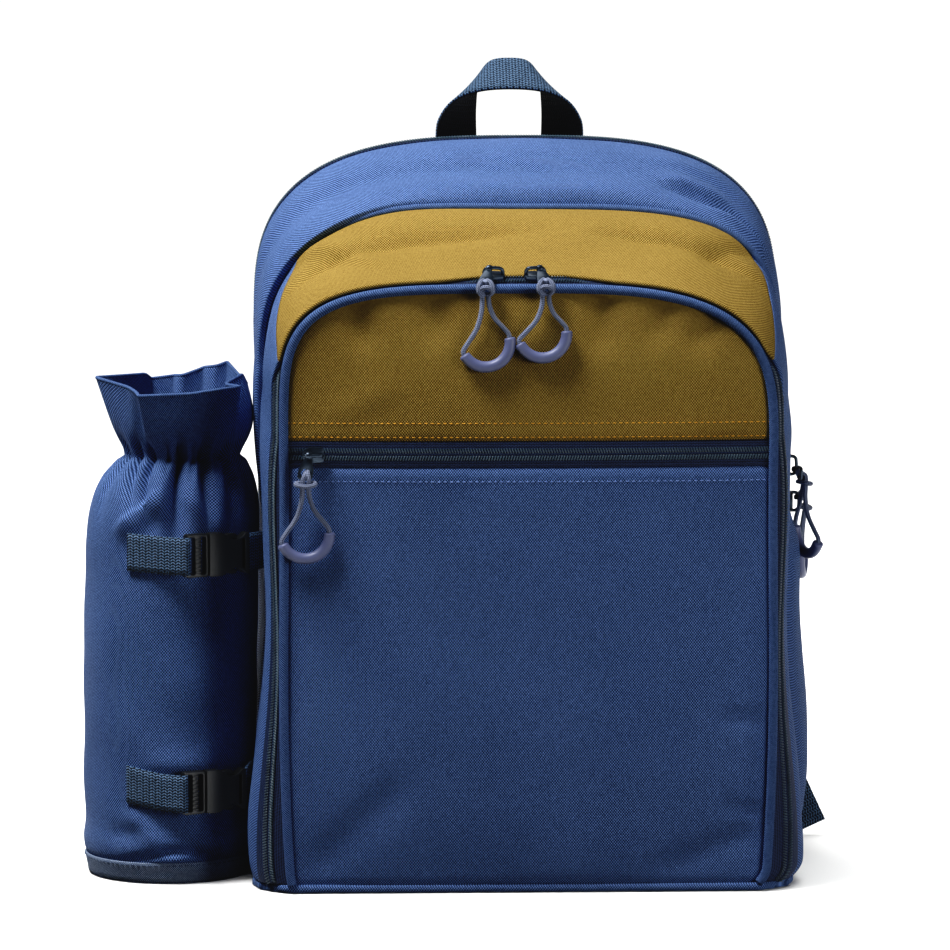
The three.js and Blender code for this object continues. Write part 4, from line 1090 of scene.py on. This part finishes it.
divider_top = OUTLINES["main_seam"]["top"] - DIVIDER["below_top"]
divider_rows = panel_rows("main_seam", BASE, divider_top, 30, 41, DIVIDER["inset"], 0)
add_cloth("divider_cloth", divider_rows, BLUE, ["divider_panel"], PANEL_INSIDE, DIVIDER["wall"])
back_top = OUTLINES["back_seam"]["top"] - BACK["below_top"]
back_flat = panel_rows("back_seam", BASE, back_top, 60, 81, BACK["inset"], BACK["bulge"])
back_rows = shaped(back_flat + np.array((0, BACK["behind"], 0)), BAG_MIDDLE, uneven=0.8, size=60, seed=23,
                   roll=(3, 3), reach=8)
add_cloth("back_cloth", back_rows, BLUE, ["back_panel"], BAG_MIDDLE, BACK["wall"])
# The seam round the back is bound, which hides the raw edges of both its cloths
make_piece("back_seam_binding", tube(arch("back_seam", BINDING["behind"]), BINDING["radius"], 12), PIPING)

# %% [markdown]
# ## Webbing
# Handle, straps and the pouch's tabs are narrow woven webbing, a strip with two edges and a little thickness.
# It is a grid between its two edge lines, with a Solidify modifier for the thickness. The chevrons in its
# weave come from the material, which follows the strip along its UV map.

# %% Grab handle
HANDLE_MIDDLE = -4
HANDLE_UNDER = (HANDLE_MIDDLE, 90, 390)
HANDLE_LAYER = 0.9  # thickness of each of its two layers
# Columns: the x, y and z of the front edge, then those of the rear edge
HANDLE = np.array([
    (41, 73, 390.5, 18.5, 84, 386.9), (39.5, 69.5, 403, 19, 83.5, 409), (31.5, 64, 414, 17.5, 81.5, 424.5),
    (18, 62, 419.5, 11, 81, 434.5), (0, 61.5, 421, 0, 81, 436.5)])
left_half = HANDLE * (-1, 1, 1, -1, 1, 1)
handle_line = smooth_line(np.vstack([left_half, HANDLE[::-1][1:]]), 97)
handle_line[:, [0, 3]] += HANDLE_MIDDLE


def strip_rows(first_edge, second_edge, count):
    shares = np.linspace(0, 1, count)[:, None, None]
    return first_edge[None] + (second_edge - first_edge)[None] * shares


handle_rows = strip_rows(handle_line[:, :3], handle_line[:, 3:], 9)
# The inner layer, which faces out on the legs, is painted near-black: painted shade from the handle's top.
under_rows = handle_rows - HANDLE_LAYER * outward(handle_rows, HANDLE_UNDER)
for name, rows, finish in [("handle_webbing", handle_rows, WEBBING),
                           ("handle_webbing_painted_shade", under_rows, WEBBING_PAINTED_SHADE)]:
    make_piece(name, bend_grid(rows, HANDLE_UNDER), finish, ["grab_handle"], wall=HANDLE_LAYER)

# %% [markdown]
# ## Shoulder straps
# Each strap is a foam pad in a sewn sleeve of the bag's cloth. A ring of points is carried along the strap's
# line, and then a short cloth simulation blows the sleeve up against its side seams, as foam does. The seams
# are pinned, so the strap keeps its outline. Below it, webbing turns round the bar of an adjuster.

# %% Pads
SIDES = {"left": -1, "right": 1}
# Columns: x, y and z of the middle of the rear face, and the width
SHOULDER_STRAP = [(48, 87.4, 368, 60), (50, 113, 369, 62), (54, 125, 356, 63), (61, 132, 326, 63),
                  (70, 134, 284, 61), (78, 131, 240, 56), (86, 122, 200, 44), (92, 114, 168, 27),
                  (93.2, 113, 163, 25)]
# The powers, below 1, make the pad's section squarer than an ellipse across it and through it
PAD = {"thick": 8.4, "behind": 5.0, "sides": 32, "step": 4.0, "across": 0.6, "through": 0.75, "seam": 1.6}
SAME_PLACE = 0.05  # points nearer than this are one point
FILL = {"pressure": 4.0, "frames": 20, "most": 2.5}


def filled(piece, pinned):
    """Blows a sleeve up by cloth simulation with its seams pinned, and keeps the result in its mesh."""
    seam = piece.vertex_groups.new(name="seam")
    seam.add(pinned, 1.0, "REPLACE")
    sleeve = piece.modifiers.new("Fill", "CLOTH")
    sleeve.settings.vertex_group_mass = "seam"
    sleeve.settings.use_pressure = True
    sleeve.settings.uniform_pressure_force = FILL["pressure"]
    sleeve.settings.effector_weights.gravity = 0
    for step in range(1, FILL["frames"] + 1):
        scene.frame_set(step)
    blown = piece.evaluated_get(bpy.context.evaluated_depsgraph_get())
    before = np.array([vert.co for vert in piece.data.vertices])
    after = np.array([vert.co for vert in blown.data.vertices])
    moves = after - before
    lengths = np.linalg.norm(moves, axis=1, keepdims=True)
    moves *= np.minimum(1, FILL["most"] * MM / np.maximum(lengths, 1e-9))
    piece.modifiers.remove(sleeve)
    piece.vertex_groups.remove(seam)
    piece.data.vertices.foreach_set("co", (before + moves).ravel())
    piece.data.update()
    scene.frame_set(1)
    print(piece.name, "swelled by up to", round(float(np.linalg.norm(moves, axis=1).max()) / MM, 2), "mm")


def add_shoulder_strap(name, sign):
    line = even_line(smooth_line(SHOULDER_STRAP, 121), PAD["step"])
    centre, width = line[:, :3] * (sign, 1, 1), line[:, 3]
    way = unit(np.gradient(centre, axis=0))
    across = np.broadcast_to((1.0, 0, 0), way.shape)
    out = unit(np.cross(across, way))
    out *= np.sign(out[len(out) // 2, 1])
    angle = np.linspace(0, 2 * math.pi, PAD["sides"] + 1)
    flat = np.sign(np.cos(angle)) * np.abs(np.cos(angle)) ** PAD["across"]
    thick = np.sign(np.sin(angle)) * np.abs(np.sin(angle)) ** PAD["through"]
    flat[-1], thick[-1] = flat[0], thick[0]
    rows = (centre - out * PAD["behind"])[:, None] + across[:, None] * (width[:, None] / 2 * flat)[..., None]
    rows = rows + out[:, None] * (PAD["thick"] / 2 * thick)[None, :, None]
    sleeve = bend_grid(rows, around=True, caps=True)
    strap = make_piece(f"strap_pad_{name}", sleeve, BLUE, [f"shoulder_strap_{name}"])
    edge_points = rows[:, [0, PAD["sides"] // 2]].reshape(-1, 3)
    still = np.vstack([edge_points, rows[0], rows[-1]])
    corners = np.array([vert.co for vert in strap.data.vertices]) / MM
    nearest = [np.linalg.norm(still - corner, axis=1).min() for corner in corners]
    filled(strap, [i for i, distance in enumerate(nearest) if distance < SAME_PLACE])
    for side, column in [("inner", 0), ("outer", PAD["sides"] // 2)]:
        make_piece(f"strap_edge_{name}_{side}", tube(rows[:, column], PAD["seam"]), PIPING)


for name, sign in SIDES.items():
    add_shoulder_strap(name, sign)

# %% Strap webbing and adjusters
STRAP_BAR = {"x": 100, "y": 108, "z": 148, "half": 2}
SLANT = math.radians(24.6)
ADJUSTER = {"width": 27, "opening": 21.2, "height": 16, "rail": 3, "corner": 3, "hole_corner": 1,
            "rounding": 0.8}
STRAP_LOWER = [(88, 87.3), (40, 96), (6, 104)]
STRAP_TAIL = [(6, 111.6), (40, 104.5), (80, 98), (120, 94), (158, 92.4)]
WEBBING_WIDTH, WEBBING_WALL = 20, 1.5
TAIL = {"step": 1.5, "hem": 9}
ROUND_BAR = np.radians((-90, -135, 180, 135, 90))


def add_strap_webbing(name, sign):
    bar = np.array((sign * STRAP_BAR["x"], STRAP_BAR["y"], STRAP_BAR["z"]))
    down = np.array((sign * math.sin(SLANT), 0, -math.cos(SLANT)))
    across = np.array((math.cos(SLANT), 0, sign * math.sin(SLANT)))
    radius = STRAP_BAR["half"] * math.sqrt(2) + WEBBING_WALL + GAP
    turn = [(radius * math.cos(a), bar[1] + radius * math.sin(a)) for a in ROUND_BAR]
    route = even_line(smooth_line([*STRAP_LOWER, *turn, *STRAP_TAIL], 241), TAIL["step"])
    middle = bar * (1, 0, 1) + route[:, :1] * down + route[:, 1:] * (0, 1, 0)
    edges = [middle + across * WEBBING_WIDTH / 2 * way for way in (-1, 1)]
    rows = strip_rows(*edges, 7)
    inside = bar + down
    make_piece(f"strap_tape_{name}", bend_grid(rows, inside), WEBBING, [f"strap_webbing_{name}"],
               wall=WEBBING_WALL)
    out = outward(rows, inside)
    hem = len(route) - round(TAIL["hem"] / TAIL["step"])
    add_stitches(f"strap_hem_{name}", rows[1:-1, hem], out[1:-1, hem], "navy")

    half, opening, height = ADJUSTER["width"] / 2, ADJUSTER["opening"] / 2, ADJUSTER["height"]
    bar_half, hole_top = STRAP_BAR["half"], ADJUSTER["height"] - ADJUSTER["rail"]
    edge = [(-half, -bar_half), (half, -bar_half), (half, height), (-half, height)]
    hole = [(-opening, bar_half), (opening, bar_half), (opening, hole_top), (-opening, hole_top)]
    lock = plate([round_outline(edge, ADJUSTER["corner"]), round_outline(hole, ADJUSTER["hole_corner"])],
                 2 * bar_half, ADJUSTER["rounding"])
    bmesh.ops.translate(lock, vec=(0, 0, -bar_half), verts=lock.verts)
    axes = axes_at(bar, across, -down, np.cross(across, -down))
    make_piece(f"ladder_lock_{name}", placed(lock, axes), ACETAL, [f"strap_adjuster_{name}"], sharp=40)


for name, sign in SIDES.items():
    add_strap_webbing(name, sign)

# %% [markdown]
# ## Bottle pouch
# The pouch is one sleeve of cloth. An elastic in a channel draws it in to a neck, so that the cloth below
# falls in gathers and the collar above stands out in stiff folds. The sleeve is a grid closed round on
# itself: its rings follow the sections of the CAD model up to the neck, and its collar is spanned from the
# neck to a rim whose corners are listed. Gathers are valleys pressed into it, each with its own
# place and depth.

# %% Sleeve
# Columns: height, middle x and y, half widths in x and y
POUCH = [(3, -191.5, -8, 43.5, 45), (12, -191.8, -8, 45, 47), (95, -190.8, -8, 46.6, 47),
         (160, -190, -8, 46.8, 46.5), (186, -189, -8, 46.5, 46), (203, -187.2, -8, 44.8, 44),
         (214, -185.8, -8, 41.5, 41.5), (221, -184.4, -8, 37, 38), (226, -183.5, -8, 33.6, 35)]
NECK = 226.0
NECK_GROOVE = {"depth": 2.2, "tall": 1.8}
POUCH_SIDES = 288
POUCH_MIDDLE = (-190, -8, 130)
POUCH_WALL = 1.4
# Valleys at the neck: place round the pouch in degrees, how many degrees they drift for each millimetre down,
# depth, width in degrees, and how far down they reach
GATHER_COLUMNS = ("angle", "drift", "depth", "wide", "down")
GATHERS = [dict(zip(GATHER_COLUMNS, row)) for row in [
    (-172, -0.1, 3.6, 5, 16), (-156, 0.2, 4.8, 4.5, 22), (-138, 0.75, 7.0, 4, 24), (-121, 0.45, 8.4, 4, 30),
    (-104, 0.6, 3.0, 3, 9), (-92, 0.1, 12.0, 4.6, 48), (-79, 0, 2.8, 3, 9), (-68, 0.1, 9.0, 4.6, 34),
    (-56, 0, 2.6, 3, 9), (-44, 0, 7.6, 5, 28), (-24, 0, 4.4, 5, 18), (-4, 0, 4.6, 5, 20), (16, 0, 4.0, 5, 15),
    (38, 0, 4.8, 5, 22), (58, 0, 4.0, 5, 15), (80, 0, 4.8, 5, 24), (102, 0, 4.0, 5, 16), (124, 0, 4.8, 5, 22),
    (146, 0, 4.0, 5, 16), (168, 0, 4.6, 5, 20)]]
GATHERS_WIDEN = 60  # millimetres below the neck at which they are twice as wide
# Folds of the sleeve: millimetres round it from the front, and up from its foot
SLEEVE_FOLDS = fold_table([
    ((-36, 184), (-10, 214), 2.4, (3, 9)),
    ((-30, 170), (-2, 202), -1.4, (7, 8)),
    ((6, 214), (30, 182), 1.6, (7, 6)),
    ((-34, 7), (4, 16.5), -3.4, (2.2, 2.0)),
    ((-8, 16), (24, 16), -3.2, (2.2, 2.2)),
    ((10, 17), (40, 7), -3.0, (2.4, 2.2)),
    ((-20, 9), (18, 13), 2.4, (2.2, 2.4)),
    ((-26, 40), (0, 16), 1.8, (5, 7)),
    ((-40, 22), (-8, 28), -1.2, (6, 6)),
    ((8, 22), (44, 22), 2.0, (6, 3)),
    ((-20, 64), (30, 62), 1.2, (7, 4)),
])
FOLDED = {"times": 1.25, "from": 10.5, "over": 4}  # the folds die out towards the hem
SLEEVE_FOOT = {"bulge": 1.3, "z": 19, "tall": 7}
HEM_TUCK = {"depth": 1.2, "from": 13.5, "over": 2.5}  # the sleeve is drawn in behind its hem
UNEVEN = {"depth": 1.1, "size": 30, "seed": 31, "from": 6, "over": 20}  # none at the foot and the neck
# Corners of the collar's free edge, and the place at the neck in degrees that each crease runs to
RIM_COLUMNS = ("angle", "x", "y", "z")
RIM = [dict(zip(RIM_COLUMNS, row)) for row in [
    (-160, -230.5, -14, 268.1), (-140, -211.7, -36, 264.6), (-121, -206.6, -50, 261), (-80, -178, -54, 262.5),
    (-58, -164, -53, 264.5), (-42, -150.4, -47, 265.9), (-30, -159.6, -28, 265.8), (-14, -150.7, -12, 269.8),
    (12, -148.1, 12, 262.3), (50, -159.1, 30, 272.7), (64, -166.2, 27, 270.5), (74, -172, 33, 269.5),
    (95, -184.2, 28, 265.5), (104, -188, 34, 265), (125, -201.6, 30, 263.6), (138, -204.7, 24, 266.8)]]
# The valley between two creases on the left: its sides, its lean, and its start and span up the collar
PLEAT = {"from": -140, "to": -121, "depth": 3.6, "lean": 1.6, "start": 0.12, "span": 0.76}


def turned(degrees, about):
    """Degrees from a place round the pouch, from -180 to 180."""
    return (degrees - about + 180) % 360 - 180


angles = 90 + 360 * np.arange(POUCH_SIDES + 1) / POUCH_SIDES
radians = np.radians(angles)
ways = np.column_stack([np.cos(radians), np.sin(radians)])
sections = even_line(smooth_line(POUCH, 241), 1.6)
height = sections[:, :1]
gathered = np.zeros((len(sections), len(angles)))
for gather in GATHERS:
    off = turned(angles, gather["angle"] + gather["drift"] * (NECK - height))
    fade = np.exp(-((NECK - height) / gather["down"]) ** 2)
    widening = 1 + (NECK - height) / GATHERS_WIDEN
    gathered -= gather["depth"] * fade * np.exp(-(off / (gather["wide"] * widening)) ** 2)
groove = NECK_GROOVE["depth"] * np.exp(-((NECK - height) / NECK_GROOVE["tall"]) ** 2)
bulge = SLEEVE_FOOT["bulge"] * np.exp(-((height - SLEEVE_FOOT["z"]) / SLEEVE_FOOT["tall"]) ** 2)
tuck = HEM_TUCK["depth"] * ramp(-height, -HEM_TUCK["from"], HEM_TUCK["over"])
radial = gathered - groove + bulge - tuck
sleeve = np.dstack([sections[:, 1:3][:, None] + (sections[:, 3:5][:, None] + radial[..., None]) * ways,
                    np.broadcast_to(height, radial.shape)])
along, across = cloth_lengths(sleeve)
folded = FOLDED["times"] * ramp(height, FOLDED["from"], FOLDED["over"])
slow = ramp(height, UNEVEN["from"], UNEVEN["over"]) * ramp(-height, -NECK, UNEVEN["over"])
uneven = UNEVEN["depth"] * uneven_heights(sleeve, UNEVEN["size"], UNEVEN["seed"])
heights = folded * fold_heights(along, across, SLEEVE_FOLDS) + slow * uneven
sleeve = sleeve + heights[..., None] * outward(sleeve, POUCH_MIDDLE)

# %% Collar
COLLAR_ROWS = 26
GATHER_FADE = 0.25  # share of the collar's height within which the gathers die out
RIGHT_BULGE = {"angle": -5, "wide": 38, "out": 4.5}
COLLAR_EDGE = 1.0  # radius
rim_angles = [corner["angle"] for corner in RIM]
rim = np.column_stack([np.interp(angles, rim_angles, [corner[axis] for corner in RIM], period=360)
                       for axis in "xyz"])
rim = sum(np.roll(rim[:-1], step, axis=0) for step in (-2, -1, 0, 1, 2)) / 5
rim = np.vstack([rim, rim[:1]])
pleated = (angles - 360 - PLEAT["from"]) / (PLEAT["to"] - PLEAT["from"])
pleated = PLEAT["depth"] * np.sin(np.pi * np.clip(pleated, 0, 1) ** PLEAT["lean"])
bulged = RIGHT_BULGE["out"] * np.exp(-(turned(angles, RIGHT_BULGE["angle"]) / RIGHT_BULGE["wide"]) ** 2)
share = np.linspace(0, 1, COLLAR_ROWS)[1:, None]
neck_ring = sleeve[-1]
smooth_ring = neck_ring.copy()
smooth_ring[:, :2] -= (gathered[-1] - NECK_GROOVE["depth"])[:, None] * ways
stays = np.exp(-(share / GATHER_FADE) ** 2)
collar = smooth_ring + (rim - smooth_ring) * share[..., None] + (neck_ring - smooth_ring) * stays[..., None]
pleated = pleated * np.sin(np.pi * (PLEAT["start"] + PLEAT["span"] * share))
pushed = bulged * np.sin(np.pi * share) - pleated
collar[..., :2] += pushed[..., None] * ways
pouch_rows = np.concatenate([sleeve, collar])
pouch_rows[:, -1] = pouch_rows[:, 0]
flat_round = np.linspace(-0.5, 0.5, POUCH_SIDES + 1) * 2 * math.pi * POUCH[1][3]
flat_up = cloth_lengths(pouch_rows)[1].mean(axis=1)[:, None]
add_cloth("pouch_cloth", pouch_rows, BLUE, ["bottle_pouch", "pouch_collar"], POUCH_MIDDLE, POUCH_WALL,
          around=True, flat=(flat_round, flat_up))
# The collar's edge is folded in and rounded: a thin tube in the middle of its wall
rim_line = pouch_rows[-1] - POUCH_WALL / 2 * outward(pouch_rows, POUCH_MIDDLE)[-1]
make_piece("pouch_collar_edge", tube(rim_line, COLLAR_EDGE, 8), PIPING)

# %% Hem and base of the pouch
# Columns: height, and distance off the cloth
HEM = [(0.3, -0.4), (1.2, 0.7), (3, 1.0), (7, 1.0), (10.6, 1.0), (11.4, 0.5)]
HEM_STITCH = (9.8, 1.1)
HEM_WALL = 1.0
POUCH_BASE = {"z": 3, "off": -0.4, "thick": 2.6, "rounding": 0.5}


def pouch_section(z):
    """Middle x and y of the pouch at a height, and its half widths in x and y."""
    levels, *columns = np.transpose(POUCH)
    return [float(np.interp(z, levels, column)) for column in columns]


def pouch_ring(z, off, count=181):
    """A ring round the pouch at a height, a distance off its cloth."""
    x, y, rx, ry = pouch_section(z)
    turn = np.radians(np.linspace(90, 450, count))
    return np.column_stack([x + (rx + off) * np.cos(turn), y + (ry + off) * np.sin(turn), np.full(count, z)])


hem_rows = np.array([pouch_ring(*row) for row in HEM])
hem_rows[:, -1] = hem_rows[:, 0]
hem = bend_grid(hem_rows, POUCH_MIDDLE, around=True)
make_piece("pouch_hem_tape", hem, GROSGRAIN, ["pouch_hem"], wall=HEM_WALL)
hem_stitch = pouch_ring(*HEM_STITCH)
hem_middle = np.array((*POUCH[1][1:3], HEM[-1][0]))
add_stitches("pouch_hem", hem_stitch, hem_stitch - hem_middle, "navy")
floor_ring = [tuple(point[:2]) for point in pouch_ring(POUCH_BASE["z"], POUCH_BASE["off"], 73)[:-1]]
pouch_base = plate([floor_ring], POUCH_BASE["thick"], POUCH_BASE["rounding"])
make_piece("pouch_base_cloth", placed(pouch_base, Matrix()), BLUE, ["pouch_base"])

# %% [markdown]
# ## Pouch straps and buckles
# Two short straps hold the pouch against the bag, each with a side-release buckle. Its plug has a ribbed bar
# and two springy arms; its socket is a flat shell with a curved window on each side, where the arms show.

# %% Buckle shapes
# Height of each strap, and how much higher its left end and its buckle sit
POUCH_STRAPS = {"upper": {"z": 177, "left": 1.3, "right": 0}, "lower": {"z": 52, "left": 1.6, "right": -2.2}}
BUCKLE_ANGLE = math.radians(-61)
BUCKLE_START = -18
PLUG = {"long": 13, "half": 11.6, "thick": 5, "corner": 1.6, "rounding": 0.7,
        "slots": [(1.8, 4.8), (8.6, 11.4)], "slot_half": 9.8, "slot_corner": 0.8}
BAR_RIBS = {"from": -8.8, "to": 8.8, "count": 9, "size": (3.4, 1.1, 0.9), "x": 6.7, "rounding": 0.25}
ARM_EDGE = [(13, 5.6), (20, 7.9), (25, 10.6), (29, 10.9), (31, 8.9), (28, 8), (24, 6.5), (13, 3.2)]
ARM = {"thick": 4, "lift": 0.6, "corner": 1.2, "rounding": 0.5}
SOCKET_HALF = [(13.3, -11.6), (21, -11.6), (23.5, -9.8), (26.5, -7.8), (30, -7.4), (33, -8.9), (35, -10.9),
               (37, -11.3)]
SOCKET_EDGE = SOCKET_HALF + [(x, -y) for x, y in SOCKET_HALF[::-1]]
SOCKET = {"thick": 6, "corner": 1.2, "rounding": 0.9, "slot": (32.8, 34.6), "slot_half": 8,
          "slot_corner": 0.6}


def box_outline(left, right, half):
    return [(left, -half), (right, -half), (right, half), (left, half)]


def buckle_plug():
    boxes = [box_outline(*ends, PLUG["slot_half"]) for ends in PLUG["slots"]]
    slots = [round_outline(box, PLUG["slot_corner"]) for box in boxes]
    edge = round_outline(box_outline(0, PLUG["long"], PLUG["half"]), PLUG["corner"])
    parts = [plate([edge, *slots], PLUG["thick"], PLUG["rounding"])]
    for way in (-1, 1):
        outline = round_outline([(x, way * y) for x, y in ARM_EDGE], ARM["corner"])
        arm = plate([outline], ARM["thick"], ARM["rounding"])
        bmesh.ops.translate(arm, vec=(0, 0, ARM["lift"]), verts=arm.verts)
        parts.append(arm)
    for y in np.linspace(BAR_RIBS["from"], BAR_RIBS["to"], BAR_RIBS["count"]):
        rib = bar_template(BAR_RIBS["size"], BAR_RIBS["rounding"])
        bmesh.ops.translate(rib, vec=(BAR_RIBS["x"], y, PLUG["thick"]), verts=rib.verts)
        parts.append(rib)
    return joined(parts)


def buckle_socket():
    slot = round_outline(box_outline(*SOCKET["slot"], SOCKET["slot_half"]), SOCKET["slot_corner"])
    edge = round_outline(SOCKET_EDGE, SOCKET["corner"])
    return plate([edge, slot], SOCKET["thick"], SOCKET["rounding"], 3)


# %% Straps of the pouch
# The stub on the pouch: degrees round it and lift; then its turn into the plug: along the buckle and lift
STUB = [(-118, 0), (-111, 0), (-104, 0.1), (-98, 0.6), (-93, 1.5)]
STUB_TURN = [(-2.5, 5.6), (0, 6.6), (1.8, 5.6), (2.6, 2.6)]
SIDE_CLEAR = 0.4
SOCKET_TIE = {"along": 37.8, "off": 2}  # where the side strap leaves the socket
ANCHOR = 0.65  # share of the way from the main seam to the tie where the side strap is sewn on


def add_pouch_strap(name, z, left, right):
    x, y, rx, ry = pouch_section(z - WEBBING_WIDTH / 2)

    def on_pouch(angle, off):
        rise = np.interp(math.degrees(angle), (STUB[0][0], STUB[-1][0]), (left, right))
        return np.array((x + (rx + off) * math.cos(angle), y + (ry + off) * math.sin(angle), z + rise))

    along = unit((-rx * math.sin(BUCKLE_ANGLE), ry * math.cos(BUCKLE_ANGLE), 0))
    off = np.array((along[1], -along[0], 0))
    start = on_pouch(BUCKLE_ANGLE, GAP) + along * BUCKLE_START
    axes = axes_at(start, along, (0, 0, 1), off)
    for part, shape in [("plug", buckle_plug()), ("socket", buckle_socket())]:
        make_piece(f"{part}_{name}", placed(shape, axes), ACETAL, [f"buckle_{part}_{name}"], sharp=35)

    def strip(piece, line, inside, nodes):
        line = even_line(smooth_line(line, 61), 1.2)
        rises = np.linspace(WEBBING_WIDTH / 2, -WEBBING_WIDTH / 2, 7)
        rows = line[None] + np.array((0, 0, 1.0)) * rises[:, None, None]
        make_piece(piece, bend_grid(rows, inside), WEBBING, nodes, wall=WEBBING_WALL)

    face = GAP + WEBBING_WALL
    stub = [on_pouch(math.radians(angle), face + lift) for angle, lift in STUB]
    stub += [start + along * step + off * lift for step, lift in STUB_TURN]
    strip(f"pouch_tape_{name}", stub, (x, y, z), [f"pouch_webbing_{name}"])

    def bag_side(outline_name):
        outline = OUTLINES[outline_name]
        level = (z - BASE) / (outline["shoulder"] - BASE)
        return np.array((-float(side_width(outline, level, -1)) - face - SIDE_CLEAR, outline["y"], z))

    tie = bag_side("front_rear")
    anchor = bag_side("main_seam") + (tie - bag_side("main_seam")) * ANCHOR
    socket_end = start + along * SOCKET_TIE["along"] + off * SOCKET_TIE["off"]
    strip(f"side_tape_{name}", [socket_end, tie, anchor], (0, tie[1], z), [f"side_webbing_{name}"])


for name, strap in POUCH_STRAPS.items():
    add_pouch_strap(name, **strap)
